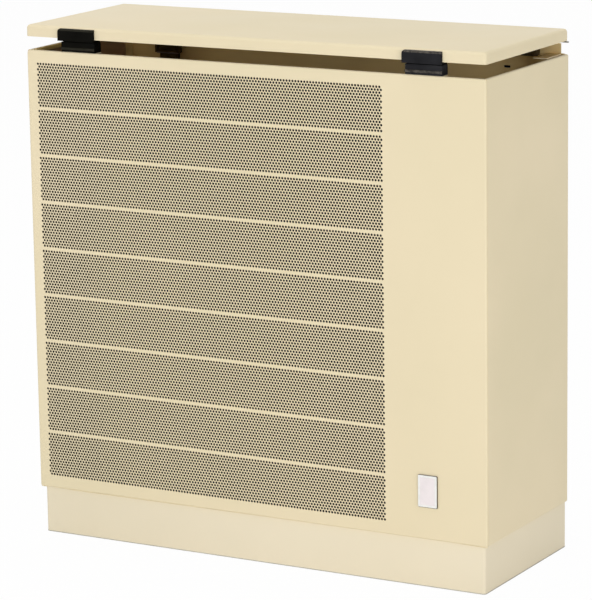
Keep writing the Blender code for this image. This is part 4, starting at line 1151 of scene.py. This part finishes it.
gusset = {
    "inner": 0.288,
    "outer": 0.3056,
    "rear": 0.1096,
    "top": 0.6175,
    "plate": 0.0008,
    "clear": 0.0003,
    "flangeTop": 0.6172,
    "flangeLow": 0.6157,
    "flange": 0.0010,
    "proud": 0.0004,
    "soft": 0.0002,
}
flangeLow, flangeTop = gusset["flangeLow"], gusset["flangeTop"]
for side, hand in ((-1, "Left"), (1, "Right")):
    node = f"corner_gusset_{hand.lower()}"
    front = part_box(node)[0].y
    left, right = sorted((side * gusset["inner"], side * (gusset["outer"] - gusset["clear"])))
    form = boxForm((left, front, gusset["top"] - gusset["plate"]), (right, gusset["rear"], gusset["top"]))
    addPiece(f"cornerGusset{hand}", form, gussetShadeEnamel, "cream_enamel", node, soft=gusset["soft"])
    left, right = sorted((side * gusset["inner"], side * gusset["outer"]))
    edge = front - gusset["proud"]
    ahead = boxForm((left, edge, flangeLow), (right, edge + gusset["flange"], flangeTop))
    left, right = sorted((side * gusset["outer"], side * (gusset["outer"] - gusset["flange"])))
    beside = boxForm((left, front, flangeLow), (right, gusset["rear"], flangeTop))
    form = joined([ahead, beside])
    # the flanges' pale finish is a painted highlight
    addPiece(f"gussetFlange{hand}", form, gussetHighlightEnamel, "cream_enamel", node, soft=gusset["soft"])


# Blanking plug in the back plate's short slot

plug = {
    "middle": (0.2325, 0.5974),
    "half": (0.0041, 0.00135),
    "boss": (0.1100, 0.1112),
    "flange": (0.1111, 0.1122),
    "grip": 0.0014,
    "rim": 0.0005,
    "slope": 0.0002,
    "dish": 0.0006,
    "soft": 0.0003,
}
across, up = plug["middle"]
wide, tall = plug["half"]
boss = boxForm((across - wide, plug["boss"][0], up - tall), (across + wide, plug["boss"][1], up + tall))
face = facing(boss, towardsViewer)
inset(boss, face, plug["rim"])
inset(boss, face, plug["slope"], -plug["dish"])
wide += plug["grip"]
tall += plug["grip"]
flange = boxForm(
    (across - wide, plug["flange"][0], up - tall), (across + wide, plug["flange"][1], up + tall)
)
addPiece("slotPlug", joined([boss, flange]), blackMoulding, "black_plastic", soft=plug["soft"])


# Casing screws: pan heads with a cross recess over a coarse thread

screw = {
    "head": 0.003,
    "rise": 0.002,
    "rimShare": 0.45,
    "domeSteps": 5,
    "shank": 0.0015,
    "long": 0.006,
    "turns": 6,
    "rootShare": 0.78,
    "rootAt": 0.35,
    "crestAt": 0.75,
    "tipShare": 0.6,
    "sides": 24,
    "slotLong": 0.0034,
    "slotWide": 0.0007,
    "slotDeep": 0.0016,
    "twist": 0.7,
}


def screwForm():
    head, rise, shank, rim = screw["head"], screw["rise"], screw["shank"], screw["rimShare"]
    profile = [(0, rise)]
    for step in range(1, screw["domeSteps"] + 1):
        angle = quarter * step / screw["domeSteps"]
        profile.append((head * math.sin(angle), rise * (rim + (1 - rim) * math.cos(angle))))
    profile += [(head, 0), (shank, 0)]
    pitch = screw["long"] / screw["turns"]
    for turn in range(screw["turns"]):
        root = -pitch * (turn + screw["rootAt"])
        crest = -pitch * (turn + screw["crestAt"])
        profile += [(shank * screw["rootShare"], root), (shank, crest)]
    profile += [(shank * screw["tipShare"], -screw["long"]), (0, -screw["long"])]
    piece = meshObject("screwPattern", spunForm(profile, screw["sides"]))
    middle = Vector((0, 0, rise))
    for across, along in ((screw["slotLong"], screw["slotWide"]), (screw["slotWide"], screw["slotLong"])):
        half = Vector((across, along, screw["slotDeep"])) / 2
        cutAway(piece, boxForm(middle - half, middle + half))
    shaped = bmesh.new()
    shaped.from_mesh(piece.data)
    bpy.data.objects.remove(piece, do_unlink=True)
    return shaped


pattern = screwForm()
for number in range(1, 5):
    node = f"casing_screw_{number}"
    low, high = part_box(node)
    form = turned(turned(pattern.copy(), screw["twist"] * number, "Z"), -quarter, "X")
    shifted(form, ((low.x + high.x) / 2, high.y - screw["rise"], (low.z + high.z) / 2))
    addPiece(f"casingScrew{number}", form, zincPlate, "zinc_steel", node)
pattern.free()


# Wall rails: bent channels with keyholes for the wall screws

rail = {
    "sheet": 0.0015,
    "bend": 0.003,
    "bendSteps": 5,
    "keyholes": (-0.16, 0.16),
    "eye": 0.0048,
    "eyeDrop": 0.004,
    "throat": 0.0026,
    "throatRise": 0.011,
    "throatDeep": 0.004,
    "drains": (-0.08, 0.0, 0.08),
    "drain": 0.0035,
    "drillDeep": 0.01,
    "drillSides": 28,
}


def drill(across, up, radius, depth):
    deep = rail["drillDeep"]
    form = spunForm([(0, -deep), (radius, -deep), (radius, deep), (0, deep)], rail["drillSides"])
    return shifted(turned(form, quarter, "X"), (across, depth, up))


for place in ("Upper", "Lower"):
    node = f"wall_rail_{place.lower()}"
    low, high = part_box(node)
    form = boxForm(low, high)
    takeOff(form, facing(form, (1, 0, 0)) + facing(form, (-1, 0, 0)) + facing(form, towardsViewer))
    folds = [edge for edge in running(form, (1, 0, 0)) if not edge.is_boundary]
    roundOff(form, folds, rail["bend"], rail["bendSteps"])
    piece = makePiece(f"wallRail{place}", form, wall=rail["sheet"])
    middle = (low.z + high.z) / 2
    eyeUp = middle - rail["eyeDrop"]
    holes = [drill(across, eyeUp, rail["eye"], high.y) for across in rail["keyholes"]]
    holes += [drill(across, middle, rail["drain"], high.y) for across in rail["drains"]]
    cutAway(piece, joined(holes))
    throats = []
    for across in rail["keyholes"]:
        throats.append(boxForm(
            (across - rail["throat"], high.y - rail["throatDeep"], eyeUp),
            (across + rail["throat"], high.y + rail["throatDeep"], eyeUp + rail["throatRise"]),
        ))
    cutAway(piece, joined(throats))
    dress(piece, zincPlate, node)


# Lid liner: a tray with pressed ribs that keeps the heat off the lid

liner = {
    "sheet": 0.001,
    "corner": 0.006,
    "cornerSteps": 5,
    "bend": 0.0018,
    "bendSteps": 4,
    "ribs": 6,
    "ribShare": 0.52,
    "press": 0.0013,
    "pressSlope": 0.003,
    "margin": 0.016,
}
low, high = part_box("lid_liner")
form = boxForm(low, high)
roundOff(form, running(form, (0, 0, 1)), liner["corner"], liner["cornerSteps"])
takeOff(form, facing(form, (0, 0, 1)))
roundOff(form, list(facing(form, (0, 0, -1))[0].edges), liner["bend"], liner["bendSteps"])
step = (high.x - low.x) / liner["ribs"]
half = step * liner["ribShare"] / 2
front, rear = low.y + liner["margin"], high.y - liner["margin"]
for number in range(liner["ribs"]):
    middle = low.x + step * (number + 0.5)
    for across in (middle - half, middle + half):
        cutAlong(form, (across, 0, 0), (1, 0, 0))
for depth in (front, rear):
    cutAlong(form, (0, depth, 0), (0, 1, 0))
pressed = []
for face in facing(form, (0, 0, -1), parallel):
    middle = face.calc_center_median()
    along = ((middle.x - low.x) / step) % 1
    if abs(along - 0.5) < liner["ribShare"] / 2 and front < middle.y < rear:
        pressed.append(face)
inset(form, pressed, liner["pressSlope"], -liner["press"])
# the liner's finish paints brown shade on its faces
addPiece("lidLiner", form, innerShadeEnamel, "cream_enamel", "lid_liner", body="lid", wall=liner["sheet"])
print("gussets, fixings, rails and liner made")


# Controls on the shelf: fluted knob, printed dial and igniter button

knob = {
    "profile": (
        (0, 0.0154), (0.0135, 0.0154), (0.0150, 0.0160), (0.0188, 0.0160), (0.0202, 0.0148),
        (0.0210, 0.0050), (0.0214, 0.0034), (0.0226, 0.0030), (0.0230, 0.0022), (0.0230, 0),
        (0.00415, 0), (0.00415, 0.0079), (0, 0.0079),
    ),
    "flutes": 24,
    "pointsPerFlute": 4,
    "fluteDeep": 0.0009,
    "fluteHalfShare": 0.3,
    "flutedFrom": 0.0195,
    "flutedBetween": (0.0040, 0.0158),
    "markLow": (-0.0008, -0.0205, 0.0151),
    "markHigh": (0.0008, -0.0085, 0.0163),
    "markRound": 0.0002,
    "markSteps": 2,
}
low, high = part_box("thermostat_knob")
knobPlace = Vector(((low.x + high.x) / 2, (low.y + high.y) / 2, low.z))
form = spunForm(knob["profile"], knob["flutes"] * knob["pointsPerFlute"])
for vert in form.verts:
    reach = math.hypot(vert.co.x, vert.co.y)
    onWall = knob["flutedBetween"][0] < vert.co.z < knob["flutedBetween"][1] and reach > knob["flutedFrom"]
    around = math.atan2(vert.co.y, vert.co.x) / fullTurn * knob["flutes"]
    if onWall and abs(around % 1 - 0.5) < knob["fluteHalfShare"]:
        keep = 1 - knob["fluteDeep"] / reach
        bmesh.ops.scale(form, vec=(keep, keep, 1), verts=[vert])
shifted(form, knobPlace)
ridesOn = {"node": "thermostat_knob", "body": "thermostat_dial"}
addPiece("thermostatKnob", form, blackMoulding, "black_plastic", **ridesOn)
form = boxForm(knob["markLow"], knob["markHigh"])
roundOff(form, list(facing(form, (0, 0, 1))[0].edges), knob["markRound"], knob["markSteps"])
addPiece("knobMark", shifted(form, knobPlace), figureInk, "white_plastic", **ridesOn)

dial = {
    "inner": 0.0245,
    "outer": 0.0335,
    "thick": 0.0004,
    "edge": 0.0003,
    "edgeShare": 0.7,
    "sides": 96,
    "figures": 8,
    "figureSize": 0.0052,
    "figureThick": 0.0001,
    "figureDrop": 0.0007,
    "figureSteps": 3,
    "tickHalf": 0.0003,
    "tickFrom": 0.0007,
    "tickTo": 0.0022,
    "tickSinkShare": 0.6,
    "tickProud": 0.0001,
    "sweep": math.radians(270),
}
dialPlace = (knobPlace.x, knobPlace.y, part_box("control_shelf")[1].z)
inner, outer, thick, edge = dial["inner"], dial["outer"], dial["thick"], dial["edge"]
edgeUp = thick * dial["edgeShare"]
profile = [
    (inner, 0), (outer, 0), (outer, edgeUp), (outer - edge, thick), (inner + edge, thick), (inner, edgeUp),
    (inner, 0),
]
addPiece("dialRing", shifted(spunForm(profile, dial["sides"]), dialPlace), dialBlack, "black_plastic")


def figureForm(number):
    words = bpy.data.curves.new("figure", "FONT")
    words.body = str(number)
    words.size = dial["figureSize"]
    words.extrude = dial["figureThick"]
    words.align_x = "CENTER"
    words.align_y = "CENTER"
    words.resolution_u = dial["figureSteps"]
    holder = bpy.data.objects.new("figure", words)
    bpy.context.scene.collection.objects.link(holder)
    bpy.context.view_layer.update()
    shaped = bpy.data.meshes.new_from_object(holder.evaluated_get(bpy.context.evaluated_depsgraph_get()))
    form = bmesh.new()
    form.from_mesh(shaped)
    bpy.data.objects.remove(holder, do_unlink=True)
    bpy.data.curves.remove(words)
    bpy.data.meshes.remove(shaped)
    return shifted(form, (0, -(inner + outer) / 2 - dial["figureDrop"], thick))


marks = []
for number in range(dial["figures"]):
    turn = dial["sweep"] * number / (dial["figures"] - 1)
    tick = boxForm(
        (-dial["tickHalf"], -inner - dial["tickTo"], thick * dial["tickSinkShare"]),
        (dial["tickHalf"], -inner - dial["tickFrom"], thick + dial["tickProud"]),
    )
    for form in (tick, figureForm(number)):
        marks.append(shifted(turned(form, -turn, "Z"), dialPlace))
addPiece("dialFigures", joined(marks), figureInk, "white_plastic")

button = {
    "crown": ((0, -0.0009), (0.0022, -0.0007), (0.0036, 0), (0.0044, -0.0001), (0.0050, -0.0008)),
    "stem": ((0.0050, 0.0118), (0.0047, 0.0115), (0.0047, 0), (0, 0)),
    "sides": 40,
}
low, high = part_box("piezo_button")
profile = [(radius, high.z - low.z + drop) for radius, drop in button["crown"]]
profile += button["stem"]
form = shifted(spunForm(profile, button["sides"]), ((low.x + high.x) / 2, (low.y + high.y) / 2, low.z))
addPiece("igniterButton", form, whiteMoulding, "white_plastic", "piezo_button", body="igniter_button")
print("controls made")


# Camera, floor and light

viewpoint = {
    "place": (1.981, -3.5275, 1.182),
    "right": (0.87284, 0.48777, -0.01477),
    "up": (-0.09053, 0.19160, 0.97729),
    "back": (0.47953, -0.85168, 0.21139),
    "lens": 200.4,
    "sensor": 36,
    "sight": 60,
}
lensData = bpy.data.cameras.new("photoCamera")
lensData.sensor_fit = "VERTICAL"
lensData.sensor_height = viewpoint["sensor"]
lensData.lens = viewpoint["lens"]
lensData.clip_end = viewpoint["sight"]
camera = bpy.data.objects.new("photoCamera", lensData)
axes = Matrix((viewpoint["right"], viewpoint["up"], viewpoint["back"])).transposed()
camera.matrix_world = Matrix.Translation(viewpoint["place"]) @ axes.to_4x4()
bpy.context.scene.collection.objects.link(camera)
bpy.context.scene.camera = camera

studio = {
    "floorSize": 14,
    "floorColour": (0.94, 0.94, 0.935),
    "floorGrain": 3,
    "floorRough": 0.9,
    "floorSpecular": 0.1,
    "floorGlow": 0.97,
    "ambient": 0.50,
    "aim": (0, 0, 0.32),
    "lamps": {
        "keyLamp": {"place": (-0.4, -4.7, 1.55), "size": 1.2, "power": 58.5},
        "topLamp": {"place": (-0.4, 0.2, 3.3), "size": 2.0, "power": 31},
        "fillLamp": {"place": (3.4, -1.9, 0.9), "size": 2.4, "power": 47},
    },
}


def seenOrMirrored(tree):
    # one where the camera sees the surface, straight or in metal or glass
    rays = addNode(tree, "LightPath").outputs
    straight = greater(tree, rays["Is Camera Ray"], rays["Is Glossy Ray"])
    return greater(tree, straight, rays["Is Transmission Ray"])


form = bmesh.new()
bmesh.ops.create_grid(form, x_segments=1, y_segments=1, size=studio["floorSize"] / 2)
floor = meshObject("studioFloor", form)
paper, tree, shader = startFinish("floorPaper", studio["floorRough"])
tint(tree, grain(tree, studio["floorGrain"]), shader, (studio["floorColour"], studio["floorColour"]))
shader.inputs["Specular IOR Level"].default_value = studio["floorSpecular"]
glow = addNode(tree, "Emission")
share = addNode(tree, "Math", {0: seenOrMirrored(tree), 1: studio["floorGlow"]}, operation="MULTIPLY")
feeds = {"Fac": share.outputs["Value"], 1: shader.outputs["BSDF"], 2: glow.outputs["Emission"]}
seen = addNode(tree, "MixShader", feeds)
tree.links.new(seen.outputs["Shader"], tree.nodes["Material Output"].inputs["Surface"])
floor.data.materials.append(paper)
floor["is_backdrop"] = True

world = bpy.data.worlds.new("studioWorld")
bpy.context.scene.world = world
world.use_nodes = True
tree = world.node_tree
sky = tree.nodes["Background"]
feeds = {"Value": seenOrMirrored(tree), "To Min": studio["ambient"], "To Max": 1.0}
level = addNode(tree, "MapRange", feeds)
tree.links.new(level.outputs["Result"], sky.inputs["Strength"])
sky.inputs["Color"].default_value = (1, 1, 1, 1)

for name, settings in studio["lamps"].items():
    lamp = bpy.data.lights.new(name, "AREA")
    lamp.shape = "SQUARE"
    lamp.size = settings["size"]
    lamp.energy = settings["power"]
    holder = bpy.data.objects.new(name, lamp)
    holder.location = settings["place"]
    aim = Vector(studio["aim"]) - Vector(settings["place"])
    holder.rotation_euler = aim.to_track_quat("-Z", "Y").to_euler()
    bpy.context.scene.collection.objects.link(holder)
bpy.context.scene.view_settings.view_transform = "Standard"
print("studio set")

low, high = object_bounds()
